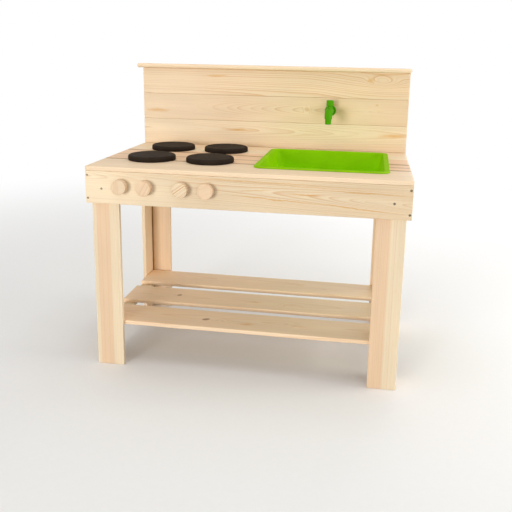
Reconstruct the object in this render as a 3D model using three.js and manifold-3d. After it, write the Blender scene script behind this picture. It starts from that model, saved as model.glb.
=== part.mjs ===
// A child's wooden mud kitchen: a slatted pine bench on four angle legs, with four hob discs,
// a drop-in sink, a tap on a three-board backsplash, and four turning knobs on the front apron.
// Millimetres, +Z up, +X to the right, the user stands on the -Y side. The origin is on the floor,
// at the centre of the whole outline.

import * as THREE from "three";
import { mergeVertices } from "three/addons/utils/BufferGeometryUtils.js";
import Module from "manifold-3d";

// Driving dimensions of the bench

const worktopWidth = 900;
const worktopDepth = 512;
const worktopHeight = 600;
const boardThickness = 12;
const seatGap = 0.3;
const edgeEase = 1.5;
const cutOverrun = 5;

// Aprons, the upright boards round the top

const apronHeight = 93;

// Legs, each an angle of a face board and a side board

const legFaceWidth = 80;
const legSideWidth = 72;

// Worktop planks, front to back, and the two battens beside the sink

const frontPlankWidth = 143;
const rearPlankWidth = 164;
const battenToCutout = 6;

// Backsplash

const backsplashBoardHeight = 86;
const postWidth = 80;
const capThickness = 14;
const capFrontOverhang = 12;
const capLeftOverhang = 18;
const capRightOverhang = 4;
const capEdgeEase = 6;

// Shelf

const shelfHeight = 137;
const shelfPlankWidth = 123;
const shelfRearInset = 4;
const shelfBattenWidth = 37;
const shelfBattenInset = 34;
const shelfBattenOffset = 1;

// Hob discs

const hobDiameter = 141;
const hobThickness = 15;
const hobEdgeRound = 4;
const hobColumnGap = 37;
const hobLeftMargin = 70.5;
const hobFrontMargin = 91.5;
const hobRearMargin = 47.5;

// Sink basin, which hangs by its rim in a cut-out of the worktop

const hobToSink = 69.5;
const sinkRightMargin = 60;
const sinkFrontMargin = 84;
const sinkRearMargin = 45;
const rimWidth = 12;
const rimThickness = 4;
const rimRound = 1.5;
const rimCornerRadius = 27;
const basinDepth = 92;
const basinWall = 3;
const basinDraft = 20;
const basinFillet = 14;
const basinCornerRadius = 24;
const basinPlay = 2;

// Knobs, turning on screws that come through the front apron from behind

const knobDiameter = 42;
const knobThickness = 20;
const knobEdgeRound = 1.5;
const knobPitch = 71;
const knobPairPitch = 174;
const knobRowShift = 3;
const knobRise = 6.5;
const spacerDiameter = 20;
const spacerThickness = 4;
const knobScrewDiameter = 4.5;
const knobScrewHeadDiameter = 9;
const knobScrewHeadHeight = 3;
const knobScrewEngagement = 12;
const runningClearance = 0.1;

// Countersunk screws, through the front apron and through the legs into the shelf

const screwHeadDiameter = 6.5;
const screwHeadHeight = 2.6;
const screwShankDiameter = 3.5;
const screwTipLength = 4;
const longScrewLength = 45;
const shortScrewLength = 24;
const screwSink = 0.3;
const screwClearance = 0.3;
const endScrewTopInset = 13;
const endScrewBottomInset = 14.5;
const innerScrewEndInset = 47;
const innerScrewDrop = 3.5;

// Tap

const tapOffset = 3;
const tapRise = 2.5;
const tapReach = 100;
const barrelDiameter = 24;
const spoutDrop = 36;
const nozzleDiameter = 19.5;
const nozzleLength = 17;
const nozzleTaper = 2;
const flangeDiameter = 37;
const flangeThickness = 6;
const flangeRound = 2;
const tailDiameter = 14;
const tailProjection = 11;
const tapNutDiameter = 27;
const tapNutThickness = 7;
const handleFromWall = 34;
const collarDiameter = 18;
const collarHeight = 5;
const stemDiameter = 10;
const stemHeight = 12;
const handleDiameter = 23.5;
const handleHeight = 18.5;
const handleRound = 2;
const handleLobeDepth = 0.9;
const handleLobes = 8;

// Facets

const arcSteps = 1;
const knobSides = 32;
const hobSides = 40;
const screwSides = 12;
const bearingSides = 24;
const tapSides = 24;
const roundSteps = 2;
const cornerSteps = 4;
const nutSides = 6;
const handleOutlineSteps = 64;

// Places worked out from the dimensions above, from the apron's front face, its middle and the floor

const halfWidth = worktopWidth / 2;
const worktopUnder = worktopHeight - boardThickness;
const frameTop = worktopUnder - seatGap;
const apronBottom = frameTop - apronHeight;
const apronMiddle = frameTop - apronHeight / 2;
const rearApronFront = worktopDepth - boardThickness;
const legOuter = halfWidth - boardThickness - seatGap;
const legInnerFace = legOuter - boardThickness;
const frontLegBack = 2 * boardThickness + seatGap;
const rearLegFront = rearApronFront - seatGap - boardThickness;
const sideBoardFront = frontLegBack + seatGap;
const sideBoardBack = rearLegFront - seatGap;
const shelfFrontRow = sideBoardFront + shelfPlankWidth / 2;
const shelfRearRow = sideBoardBack - shelfRearInset - shelfPlankWidth / 2;
const sideBoardRows = {
  front: sideBoardFront + legSideWidth / 2,
  rear: sideBoardBack - legSideWidth / 2,
};
const backsplashFoot = worktopHeight + seatGap;
const backsplashPitch = backsplashBoardHeight + seatGap;
const middleBoardHeight = backsplashFoot + backsplashPitch + backsplashBoardHeight / 2;
const backsplashTop = middleBoardHeight + backsplashPitch + backsplashBoardHeight / 2;
const postFront = worktopDepth + seatGap;
const postBack = postFront + boardThickness;
const capLeft = -halfWidth - capLeftOverhang;
const capRight = halfWidth + capRightOverhang;
const hobRadius = hobDiameter / 2;
const hobLeftColumn = -halfWidth + hobLeftMargin + hobRadius;
const hobRightColumn = hobLeftColumn + hobDiameter + hobColumnGap;
const hobFrontRow = hobFrontMargin + hobRadius;
const hobRearRow = rearApronFront - hobRearMargin - hobRadius;
const sinkLeft = hobRightColumn + hobRadius + hobToSink;
const sinkRight = halfWidth - sinkRightMargin;
const sinkFront = sinkFrontMargin;
const sinkBack = rearApronFront - sinkRearMargin;
const sinkCentreX = (sinkLeft + sinkRight) / 2;
const sinkCentreY = (sinkFront + sinkBack) / 2;
const cutoutLeft = sinkLeft + rimWidth - basinPlay;
const cutoutRight = sinkRight - rimWidth + basinPlay;
const worktopBattenWidth = legInnerFace - seatGap - battenToCutout - cutoutRight;
const knobHeight = apronMiddle + knobRise;
const spacerBack = -seatGap;
const spacerFront = spacerBack - spacerThickness;
const knobBack = spacerFront - seatGap;
const knobFront = knobBack - knobThickness;
const tapX = sinkCentreX - tapOffset;
const tapHeight = middleBoardHeight + tapRise;
const originX = (capLeft + capRight) / 2;
const originY = (knobFront + postBack) / 2;

const X = new THREE.Vector3(1, 0, 0);
const Y = new THREE.Vector3(0, 1, 0);
const Z = new THREE.Vector3(0, 0, 1);

const wasm = await Module();
wasm.setup();

// Materials

function paint(color, roughness, metalness) {
  return new THREE.MeshStandardMaterial({ color, roughness, metalness });
}

const pine = () => paint(0xe6d0b0, 0.62, 0);
const litPine = () => paint(0xf0dbb9, 0.6, 0);
const darkPaint = () => paint(0x413730, 0.5, 0);
const limePlastic = () => paint(0x80c000, 0.35, 0);
const greenPlastic = () => paint(0x3f8f14, 0.38, 0);
const palePlastic = () => paint(0xd8d2c4, 0.5, 0);
const zincSteel = () => paint(0x8a8a88, 0.42, 0.9);

// Joining and cutting

function toSolid(geometry) {
  const bare = geometry.clone();
  bare.deleteAttribute("normal");
  bare.deleteAttribute("uv");
  const merged = mergeVertices(bare);
  return new wasm.Manifold(
    new wasm.Mesh({
      numProp: 3,
      vertProperties: new Float32Array(merged.attributes.position.array),
      triVerts: new Uint32Array(merged.index.array),
    }),
  );
}

function toGeometry(solid) {
  const data = solid.getMesh();
  const geometry = new THREE.BufferGeometry();
  geometry.setAttribute("position", new THREE.BufferAttribute(data.vertProperties, 3));
  geometry.setIndex(new THREE.BufferAttribute(data.triVerts, 1));
  geometry.computeVertexNormals();
  return geometry;
}

function cut(geometry, tools) {
  let solid = toSolid(geometry);
  for (const tool of tools) {
    solid = solid.subtract(toSolid(tool));
  }
  return toGeometry(solid);
}

function join(geometries) {
  let solid = toSolid(geometries[0]);
  for (const geometry of geometries.slice(1)) {
    solid = solid.add(toSolid(geometry));
  }
  return toGeometry(solid);
}

// Shapes shared by many pieces

// A rectangle round the origin with rounded corners.
function roundedRectangle(width, height, radius) {
  const x = width / 2 - radius;
  const y = height / 2 - radius;
  const shape = new THREE.Shape();
  shape.absarc(x, y, radius, 0, Math.PI / 2);
  shape.absarc(-x, y, radius, Math.PI / 2, Math.PI);
  shape.absarc(-x, -y, radius, Math.PI, Math.PI * 1.5);
  shape.absarc(x, -y, radius, Math.PI * 1.5, Math.PI * 2);
  shape.closePath();
  return shape;
}

// A planed board with eased long edges, centred on the origin. Its length lies along one axis and
// its width along another.
function boardGeometry(length, width, thickness, lengthAxis, widthAxis, ease = edgeEase) {
  const profile = roundedRectangle(width, thickness, ease);
  const geometry = new THREE.ExtrudeGeometry(profile, {
    depth: length,
    bevelEnabled: false,
    curveSegments: arcSteps,
  });
  geometry.translate(0, 0, -length / 2);
  const thicknessAxis = new THREE.Vector3().crossVectors(lengthAxis, widthAxis);
  geometry.applyMatrix4(new THREE.Matrix4().makeBasis(widthAxis, thicknessAxis, lengthAxis));
  return geometry;
}

// A turned solid round the Y axis, from a profile of [radius, y] pairs that starts and ends on it.
function turned(profile, sides) {
  return new THREE.LatheGeometry(profile.map(([r, y]) => new THREE.Vector2(r, y)), sides);
}

// The same round the Z axis, with the profile's y as z.
function turnedUpright(profile, sides) {
  return turned(profile, sides).rotateX(Math.PI / 2);
}

// Profile points of a quarter round between a flat and a side, as [radius, y] pairs. The centre is
// at [r, y], and the angle is counted from the outward radius.
function quarter(r, y, radius, from, to) {
  const points = [];
  for (let i = 0; i <= roundSteps; i += 1) {
    const angle = from + ((to - from) * i) / roundSteps;
    points.push([r + radius * Math.cos(angle), y + radius * Math.sin(angle)]);
  }
  return points;
}

function place(mesh, x, y, z) {
  mesh.position.set(x, y, z);
  return mesh;
}

function named(name, geometry, material) {
  const mesh = new THREE.Mesh(geometry, material);
  mesh.name = name;
  return mesh;
}

const sides = [
  { name: "left", sign: -1 },
  { name: "right", sign: 1 },
];

// Fasteners

// A countersunk screw along +Y with its head's flat at y = 0. Grown by a clearance it is the tool
// that cuts its own hole, and then its mouth runs out past the face.
function screwGeometry(length, grow = 0, mouth = 0) {
  const head = screwHeadDiameter / 2 + grow;
  const shank = screwShankDiameter / 2 + grow;
  const profile = [[0, -mouth]];
  profile.push([head, -mouth]);
  if (mouth > 0) {
    profile.push([head, 0]);
  }
  profile.push([shank, screwHeadHeight]);
  profile.push([shank, length - screwTipLength + grow]);
  profile.push([0, length + grow]);
  return turned(profile, screwSides);
}

// Screws through the front apron: two into the end of each side apron, and one into each leg.
const apronScrews = sides.flatMap(({ name, sign }) => [
  {
    name: `apron_screw_${name}_upper`,
    x: sign * (halfWidth - boardThickness / 2),
    y: screwSink,
    z: frameTop - endScrewTopInset,
    turn: 0,
    length: longScrewLength,
  },
  {
    name: `apron_screw_${name}_lower`,
    x: sign * (halfWidth - boardThickness / 2),
    y: screwSink,
    z: apronBottom + endScrewBottomInset,
    turn: 0,
    length: longScrewLength,
  },
  {
    name: `apron_screw_${name}_inner`,
    x: sign * (halfWidth - innerScrewEndInset),
    y: screwSink,
    z: apronMiddle - innerScrewDrop,
    turn: 0,
    length: shortScrewLength,
  },
]);

// Screws through the middle of the legs' side boards, level, into the ends of the front and rear
// shelf planks.
const shelfScrews = sides.flatMap(({ name, sign }) =>
  Object.entries(sideBoardRows).map(([row, y]) => ({
    name: `shelf_screw_${row}_${name}`,
    x: sign * (legOuter - screwSink),
    y,
    z: shelfHeight - boardThickness / 2,
    turn: (sign * Math.PI) / 2,
    length: longScrewLength,
  })),
);

function screwMeshes(screws) {
  return screws.map(({ name, x, y, z, turn, length }) =>
    place(named(name, screwGeometry(length).rotateZ(turn), zincSteel()), x, y, z),
  );
}

// The holes of some screws, as seen from a piece whose own origin is at the given place.
function screwHoles(screws, x, y, z) {
  return screws.map((screw) =>
    screwGeometry(screw.length, screwClearance, cutOverrun)
      .rotateZ(screw.turn)
      .translate(screw.x - x, screw.y - y, screw.z - z),
  );
}

// Knobs

const knobMiddle = (hobLeftColumn + hobRightColumn) / 2 - knobRowShift;
const knobColumns = [-1, 1].flatMap((pair) =>
  [-1, 1].map((one) => knobMiddle + (pair * knobPairPitch) / 2 + (one * knobPitch) / 2),
);

// A disc sawn from a board, with eased rims and a blind hole for its screw.
function knobGeometry() {
  const radius = knobDiameter / 2;
  const round = knobEdgeRound;
  const body = turned(
    [
      [0, 0],
      ...quarter(radius - round, round, round, -Math.PI / 2, 0),
      ...quarter(radius - round, knobThickness - round, round, 0, Math.PI / 2),
      [0, knobThickness],
    ],
    knobSides,
  );
  const hole = turned(
    [
      [0, knobThickness - knobScrewEngagement - seatGap],
      [knobScrewDiameter / 2 + seatGap, knobThickness - knobScrewEngagement - seatGap],
      [knobScrewDiameter / 2 + seatGap, knobThickness + cutOverrun],
      [0, knobThickness + cutOverrun],
    ],
    bearingSides,
  );
  return cut(body, [hole]);
}

// The screw's head lies behind the apron, and its shank reaches forward into the knob.
function knobScrewGeometry() {
  const tip = knobBack - knobScrewEngagement;
  const headFront = boardThickness + seatGap;
  return turned(
    [
      [0, tip],
      [knobScrewDiameter / 2, tip],
      [knobScrewDiameter / 2, headFront],
      [knobScrewHeadDiameter / 2, headFront],
      [knobScrewHeadDiameter / 2, headFront + knobScrewHeadHeight],
      [0, headFront + knobScrewHeadHeight],
    ],
    bearingSides,
  );
}

// A flat ring between the knob and the apron, with a running fit on the screw.
function spacerGeometry() {
  const bore = knobScrewDiameter / 2 + runningClearance;
  return turned(
    [
      [bore, 0],
      [spacerDiameter / 2, 0],
      [spacerDiameter / 2, spacerThickness],
      [bore, spacerThickness],
      [bore, 0],
    ],
    bearingSides,
  );
}

function knobMeshes() {
  return knobColumns.flatMap((x, i) => {
    const knob = named(`knob_${i + 1}`, knobGeometry(), litPine());
    const screw = named(`knob_screw_${i + 1}`, knobScrewGeometry(), zincSteel());
    const spacer = named(`knob_spacer_${i + 1}`, spacerGeometry(), palePlastic());
    return [
      place(knob, x, knobFront, knobHeight),
      place(screw, x, 0, knobHeight),
      place(spacer, x, spacerFront, knobHeight),
    ];
  });
}

// Aprons

// The front apron carries the knobs and shows the screws.
function frontApron() {
  const y = boardThickness / 2;
  const holes = knobColumns.map((x) =>
    new THREE.CylinderGeometry(
      knobScrewDiameter / 2 + runningClearance,
      knobScrewDiameter / 2 + runningClearance,
      boardThickness + 2 * cutOverrun,
      bearingSides,
    ).translate(x, 0, knobHeight - apronMiddle),
  );
  const board = boardGeometry(worktopWidth, apronHeight, boardThickness, X, Z);
  const geometry = cut(board, [...holes, ...screwHoles(apronScrews, 0, y, apronMiddle)]);
  return place(named("front_apron", geometry, litPine()), 0, y, apronMiddle);
}

function rearApron() {
  const geometry = boardGeometry(worktopWidth, apronHeight, boardThickness, X, Z);
  const y = rearApronFront + boardThickness / 2;
  return place(named("rear_apron", geometry, pine()), 0, y, apronMiddle);
}

// The side aprons stand between the front and rear ones, and take the long screws in their ends.
function sideAprons() {
  const length = rearApronFront - boardThickness - 2 * seatGap;
  const y = (boardThickness + rearApronFront) / 2;
  return sides.map(({ name, sign }) => {
    const x = sign * (halfWidth - boardThickness / 2);
    const board = boardGeometry(length, apronHeight, boardThickness, Y, Z);
    const geometry = cut(board, screwHoles(apronScrews, x, y, apronMiddle));
    return place(named(`side_apron_${name}`, geometry, pine()), x, y, apronMiddle);
  });
}

// Legs

function legFaceBoards() {
  const boards = [];
  for (const { name, sign } of sides) {
    const x = sign * (legOuter - legFaceWidth / 2);
    const z = frameTop / 2;
    const board = boardGeometry(frameTop, legFaceWidth, boardThickness, Z, X);
    const frontY = boardThickness + seatGap + boardThickness / 2;
    const rearY = rearLegFront + boardThickness / 2;
    const drilled = cut(board, screwHoles(apronScrews, x, frontY, z));
    boards.push(place(named(`leg_face_front_${name}`, drilled, pine()), x, frontY, z));
    boards.push(place(named(`leg_face_rear_${name}`, board.clone(), pine()), x, rearY, z));
  }
  return boards;
}

function legSideBoards() {
  const boards = [];
  for (const { name, sign } of sides) {
    const x = sign * (legOuter - boardThickness / 2);
    const z = frameTop / 2;
    const board = boardGeometry(frameTop, legSideWidth, boardThickness, Z, Y);
    for (const [row, y] of Object.entries(sideBoardRows)) {
      const geometry = cut(board, screwHoles(shelfScrews, x, y, z));
      boards.push(place(named(`leg_side_${row}_${name}`, geometry, pine()), x, y, z));
    }
  }
  return boards;
}

// Worktop

// The cut-out follows the basin's outer wall, with the same play all round.
function cutoutTool(x, y) {
  const width = cutoutRight - cutoutLeft;
  const depth = sinkBack - sinkFront - 2 * (rimWidth - basinPlay);
  const shape = roundedRectangle(width, depth, basinCornerRadius + basinPlay);
  const tool = new THREE.ExtrudeGeometry(shape, {
    depth: boardThickness + 2 * cutOverrun,
    bevelEnabled: false,
    curveSegments: cornerSteps,
  });
  tool.translate(sinkCentreX - x, sinkCentreY - y, -boardThickness / 2 - cutOverrun);
  return tool;
}

function worktopPlank(name, left, right, front, back) {
  const x = (left + right) / 2;
  const y = (front + back) / 2;
  const board = boardGeometry(right - left, back - front, boardThickness, X, Y);
  const geometry = cut(board, [cutoutTool(x, y)]);
  return place(named(name, geometry, pine()), x, y, worktopUnder + boardThickness / 2);
}

function worktopPlanks() {
  const middleFront = frontPlankWidth + seatGap;
  const rearFront = worktopDepth - rearPlankWidth;
  const middleBack = rearFront - seatGap;
  return [
    worktopPlank("worktop_plank_front", -halfWidth, halfWidth, 0, frontPlankWidth),
    worktopPlank("worktop_plank_middle_left", -halfWidth, cutoutLeft, middleFront, middleBack),
    worktopPlank("worktop_plank_middle_right", cutoutRight, halfWidth, middleFront, middleBack),
    worktopPlank("worktop_plank_rear", -halfWidth, halfWidth, rearFront, worktopDepth),
  ];
}

// Two battens under the planks, beside the cut-out, carry the sawn ends of the middle plank. The
// left one reaches from apron to apron, and the right one lies between the legs.
function worktopBattens() {
  const z = frameTop - boardThickness / 2;
  const offset = battenToCutout + worktopBattenWidth / 2;
  const spans = [
    {
      name: "left",
      x: cutoutLeft - offset,
      front: boardThickness + seatGap,
      back: rearApronFront - seatGap,
    },
    { name: "right", x: cutoutRight + offset, front: sideBoardFront, back: sideBoardBack },
  ];
  return spans.map(({ name, x, front, back }) => {
    const geometry = boardGeometry(back - front, worktopBattenWidth, boardThickness, Y, X);
    return place(named(`worktop_batten_${name}`, geometry, pine()), x, (front + back) / 2, z);
  });
}

// Backsplash

// Three boards on edge; the tap's tail goes through the middle one.
function backsplashBoards() {
  const y = rearApronFront + boardThickness / 2;
  return ["lower", "middle", "upper"].map((name, row) => {
    const z = middleBoardHeight + (row - 1) * backsplashPitch;
    let geometry = boardGeometry(worktopWidth, backsplashBoardHeight, boardThickness, X, Z);
    if (name === "middle") {
      const hole = new THREE.CylinderGeometry(
        tailDiameter / 2 + seatGap,
        tailDiameter / 2 + seatGap,
        boardThickness + 2 * cutOverrun,
        tapSides,
      );
      geometry = cut(geometry, [hole.translate(tapX, 0, tapHeight - z)]);
    }
    return place(named(`backsplash_board_${name}`, geometry, pine()), 0, y, z);
  });
}

// Posts behind the boards, from the foot of the rear apron up to the cap.
function backsplashPosts() {
  const length = backsplashTop - apronBottom;
  const z = (backsplashTop + apronBottom) / 2;
  const y = postFront + boardThickness / 2;
  return sides.map(({ name, sign }) => {
    const geometry = boardGeometry(length, postWidth, boardThickness, Z, X);
    const x = sign * (legOuter - postWidth / 2);
    return place(named(`backsplash_post_${name}`, geometry, pine()), x, y, z);
  });
}

// The cap lies on the boards and posts. It overhangs the front, and more at the left end.
function backsplashCap() {
  const capFront = rearApronFront - capFrontOverhang;
  const width = postBack - capFront;
  const geometry = boardGeometry(capRight - capLeft, width, capThickness, X, Y, capEdgeEase);
  const z = backsplashTop + seatGap + capThickness / 2;
  const mesh = named("backsplash_cap", geometry, litPine());
  return place(mesh, (capLeft + capRight) / 2, (capFront + postBack) / 2, z);
}

// Shelf

// Three slats with open gaps between them, held between the legs' side boards.
function shelfPlanks() {
  const length = 2 * (legInnerFace - seatGap);
  const z = shelfHeight - boardThickness / 2;
  const rows = {
    front: shelfFrontRow,
    middle: (shelfFrontRow + shelfRearRow) / 2,
    rear: shelfRearRow,
  };
  return Object.entries(rows).map(([name, y]) => {
    const board = boardGeometry(length, shelfPlankWidth, boardThickness, X, Y);
    const geometry = cut(board, screwHoles(shelfScrews, 0, y, z));
    return place(named(`shelf_plank_${name}`, geometry, pine()), 0, y, z);
  });
}

// Battens that tie the slats together from below, beside the legs.
function shelfBattens() {
  const front = sideBoardFront + shelfBattenInset;
  const back = sideBoardBack - shelfBattenInset;
  const y = (front + back) / 2;
  const z = shelfHeight - boardThickness - seatGap - boardThickness / 2;
  return sides.map(({ name, sign }) => {
    const geometry = boardGeometry(back - front, shelfBattenWidth, boardThickness, Y, X);
    const x = sign * (legInnerFace - shelfBattenOffset - shelfBattenWidth / 2);
    return place(named(`shelf_batten_${name}`, geometry, pine()), x, y, z);
  });
}

// Hob

function hobDiscGeometry() {
  const round = hobEdgeRound;
  return turnedUpright(
    [
      [0, 0],
      [hobRadius, 0],
      ...quarter(hobRadius - round, hobThickness - round, round, 0, Math.PI / 2),
      [0, hobThickness],
    ],
    hobSides,
  );
}

function hobDiscs() {
  const rows = { front: hobFrontRow, rear: hobRearRow };
  const columns = { left: hobLeftColumn, right: hobRightColumn };
  const discs = [];
  for (const [row, y] of Object.entries(rows)) {
    for (const [column, x] of Object.entries(columns)) {
      const disc = named(`hob_disc_${row}_${column}`, hobDiscGeometry(), darkPaint());
      discs.push(place(disc, x, y, worktopHeight + seatGap));
    }
  }
  return discs;
}

// Sink

// One level of the basin: a rounded rectangle set in from the rim's edge, at a height above the
// rim's underside.
function basinLevel(inset, radius, z) {
  return { inset, radius, z };
}

// The basin's skin from the middle of its underside, out over the rim and down to its floor.
function basinLevels() {
  const wallTop = rimWidth;
  const wallFoot = rimWidth + basinDraft;
  const floorEdge = wallFoot + basinFillet;
  const foot = basinCornerRadius;
  const rise = basinFillet * (1 - Math.SQRT1_2);
  const inner = basinWall;
  return [
    basinLevel(floorEdge, foot, -basinDepth),
    basinLevel(wallFoot + rise, foot, -basinDepth + rise),
    basinLevel(wallFoot, foot, -basinDepth + basinFillet),
    basinLevel(wallTop, foot, 0),
    basinLevel(0, rimCornerRadius, 0),
    basinLevel(0, rimCornerRadius, rimThickness - rimRound),
    basinLevel(rimRound, rimCornerRadius - rimRound, rimThickness),
    basinLevel(wallTop + inner, foot - inner, rimThickness),
    basinLevel(wallFoot + inner, foot - inner, -basinDepth + basinFillet + inner),
    basinLevel(wallFoot + inner + rise, foot - inner, -basinDepth + rise + inner),
    basinLevel(floorEdge + inner, foot - inner, -basinDepth + inner),
  ];
}

// The points of one level, corner by corner, anticlockwise.
function levelPoints({ inset, radius, z }, halfX, halfY) {
  const x = halfX - inset - radius;
  const y = halfY - inset - radius;
  const corners = [
    [x, y],
    [-x, y],
    [-x, -y],
    [x, -y],
  ];
  const points = [];
  corners.forEach(([cx, cy], corner) => {
    for (let i = 0; i <= cornerSteps; i += 1) {
      const angle = ((corner + i / cornerSteps) * Math.PI) / 2;
      points.push(new THREE.Vector3(cx + radius * Math.cos(angle), cy + radius * Math.sin(angle), z));
    }
  });
  return points;
}

// Joins the levels one to the next with quads, and closes the first and last with fans.
function skin(levels, halfX, halfY) {
  const rings = levels.map((level) => levelPoints(level, halfX, halfY));
  const count = rings[0].length;
  const positions = [];
  const add = (...points) => points.forEach((p) => positions.push(p.x, p.y, p.z));
  for (let r = 0; r + 1 < rings.length; r += 1) {
    for (let i = 0; i < count; i += 1) {
      const j = (i + 1) % count;
      add(rings[r][i], rings[r][j], rings[r + 1][j]);
      add(rings[r][i], rings[r + 1][j], rings[r + 1][i]);
    }
  }
  const under = new THREE.Vector3(0, 0, levels[0].z);
  const floor = new THREE.Vector3(0, 0, levels[levels.length - 1].z);
  for (let i = 0; i < count; i += 1) {
    const j = (i + 1) % count;
    add(under, rings[0][j], rings[0][i]);
    add(floor, rings[rings.length - 1][i], rings[rings.length - 1][j]);
  }
  const geometry = new THREE.BufferGeometry();
  geometry.setAttribute("position", new THREE.Float32BufferAttribute(positions, 3));
  const merged = mergeVertices(geometry);
  merged.computeVertexNormals();
  return merged;
}

function sinkBasin() {
  const halfX = (sinkRight - sinkLeft) / 2;
  const halfY = (sinkBack - sinkFront) / 2;
  const mesh = named("sink_basin", skin(basinLevels(), halfX, halfY), limePlastic());
  return place(mesh, sinkCentreX, sinkCentreY, worktopHeight + seatGap);
}

// Tap

// The body is one moulding: a level barrel, a spout that turns down at its end, a stem for the
// handle, and a tail that goes through the backsplash. Its origin is on the barrel's axis at the
// wall.
function tapBodyGeometry() {
  const radius = barrelDiameter / 2;
  const nozzle = nozzleDiameter / 2;
  const barrelBack = -flangeThickness - 2 * seatGap;
  const barrel = turned(
    [
      [0, -tapReach],
      [radius, -tapReach],
      [radius, barrelBack],
      [tailDiameter / 2, barrelBack],
      [tailDiameter / 2, boardThickness + tailProjection],
      [0, boardThickness + tailProjection],
    ],
    tapSides,
  );
  const elbow = new THREE.SphereGeometry(radius, tapSides, tapSides / 2).translate(0, -tapReach, 0);
  const spout = turnedUpright(
    [
      [0, -spoutDrop],
      [nozzle - nozzleTaper / 2, -spoutDrop],
      [nozzle, -spoutDrop + nozzleTaper],
      [nozzle, -spoutDrop + nozzleLength],
      [radius, -spoutDrop + nozzleLength],
      [radius, 0],
      [0, 0],
    ],
    tapSides,
  ).translate(0, -tapReach, 0);
  const collarTop = radius + collarHeight;
  const stem = turnedUpright(
    [
      [0, 0],
      [collarDiameter / 2, 0],
      [collarDiameter / 2, collarTop],
      [stemDiameter / 2, collarTop],
      [stemDiameter / 2, collarTop + stemHeight],
      [0, collarTop + stemHeight],
    ],
    tapSides,
  ).translate(0, -handleFromWall, 0);
  return join([barrel, elbow, spout, stem]);
}

// A lobed cap with a blind bore that sits on the stem.
function tapHandleGeometry() {
  const points = [];
  for (let i = 0; i < handleOutlineSteps; i += 1) {
    const angle = (i / handleOutlineSteps) * Math.PI * 2;
    const wave = (1 - Math.cos(handleLobes * angle)) / 2;
    const r = handleDiameter / 2 - handleRound - handleLobeDepth * wave;
    points.push(new THREE.Vector2(r * Math.cos(angle), r * Math.sin(angle)));
  }
  const body = new THREE.ExtrudeGeometry(new THREE.Shape(points), {
    depth: handleHeight - 2 * handleRound,
    bevelEnabled: true,
    bevelThickness: handleRound,
    bevelSize: handleRound,
    bevelSegments: roundSteps,
  }).translate(0, 0, handleRound);
  const bore = turnedUpright(
    [
      [0, -cutOverrun],
      [stemDiameter / 2 + runningClearance, -cutOverrun],
      [stemDiameter / 2 + runningClearance, stemHeight],
      [0, stemHeight],
    ],
    tapSides,
  );
  return cut(body, [bore]);
}

function tapFlangeGeometry() {
  const outer = flangeDiameter / 2;
  const inner = tailDiameter / 2 + seatGap;
  return turned(
    [
      [inner, 0],
      ...quarter(outer - flangeRound, flangeRound, flangeRound, -Math.PI / 2, 0),
      [outer, flangeThickness],
      [inner, flangeThickness],
      [inner, 0],
    ],
    tapSides,
  );
}

function tapNutGeometry() {
  const bore = turned(
    [
      [0, -cutOverrun],
      [tailDiameter / 2 + seatGap, -cutOverrun],
      [tailDiameter / 2 + seatGap, tapNutThickness + cutOverrun],
      [0, tapNutThickness + cutOverrun],
    ],
    tapSides,
  );
  const blank = turned(
    [
      [0, 0],
      [tapNutDiameter / 2, 0],
      [tapNutDiameter / 2, tapNutThickness],
      [0, tapNutThickness],
    ],
    nutSides,
  );
  return cut(blank, [bore]);
}

function tapMeshes() {
  const wall = rearApronFront;
  const handleFoot = tapHeight + barrelDiameter / 2 + collarHeight + seatGap;
  const flange = named("tap_flange", tapFlangeGeometry(), greenPlastic());
  const body = named("tap_body", tapBodyGeometry(), greenPlastic());
  const handle = named("tap_handle", tapHandleGeometry(), greenPlastic());
  const nut = named("tap_nut", tapNutGeometry(), greenPlastic());
  return [
    place(flange, tapX, wall - seatGap - flangeThickness, tapHeight),
    place(body, tapX, wall, tapHeight),
    place(handle, tapX, wall - handleFromWall, handleFoot),
    place(nut, tapX, wall + boardThickness + seatGap, tapHeight),
  ];
}

// Assembly

function kitchen() {
  const frame = new THREE.Group();
  frame.add(frontApron(), rearApron(), ...sideAprons(), ...screwMeshes(apronScrews));
  frame.add(...legFaceBoards(), ...legSideBoards());

  const worktop = new THREE.Group();
  worktop.add(...worktopPlanks(), ...worktopBattens(), ...hobDiscs(), sinkBasin());

  const backsplash = new THREE.Group();
  backsplash.add(...backsplashBoards(), ...backsplashPosts(), backsplashCap(), ...tapMeshes());

  const shelf = new THREE.Group();
  shelf.add(...shelfPlanks(), ...shelfBattens(), ...screwMeshes(shelfScrews));

  const group = new THREE.Group();
  group.add(frame, worktop, backsplash, shelf, ...knobMeshes());
  group.position.set(-originX, -originY, 0);
  return group;
}

const group = kitchen();

export default group;
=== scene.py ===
"""A child's pine mud kitchen, finished piece by piece over its construction model."""

import math
from dataclasses import astuple, dataclass, fields

import bpy
import numpy as np
from bpy.props import BoolProperty, FloatProperty, FloatVectorProperty, PointerProperty
from mathutils import Matrix, Vector
from mathutils.geometry import tessellate_polygon


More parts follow.
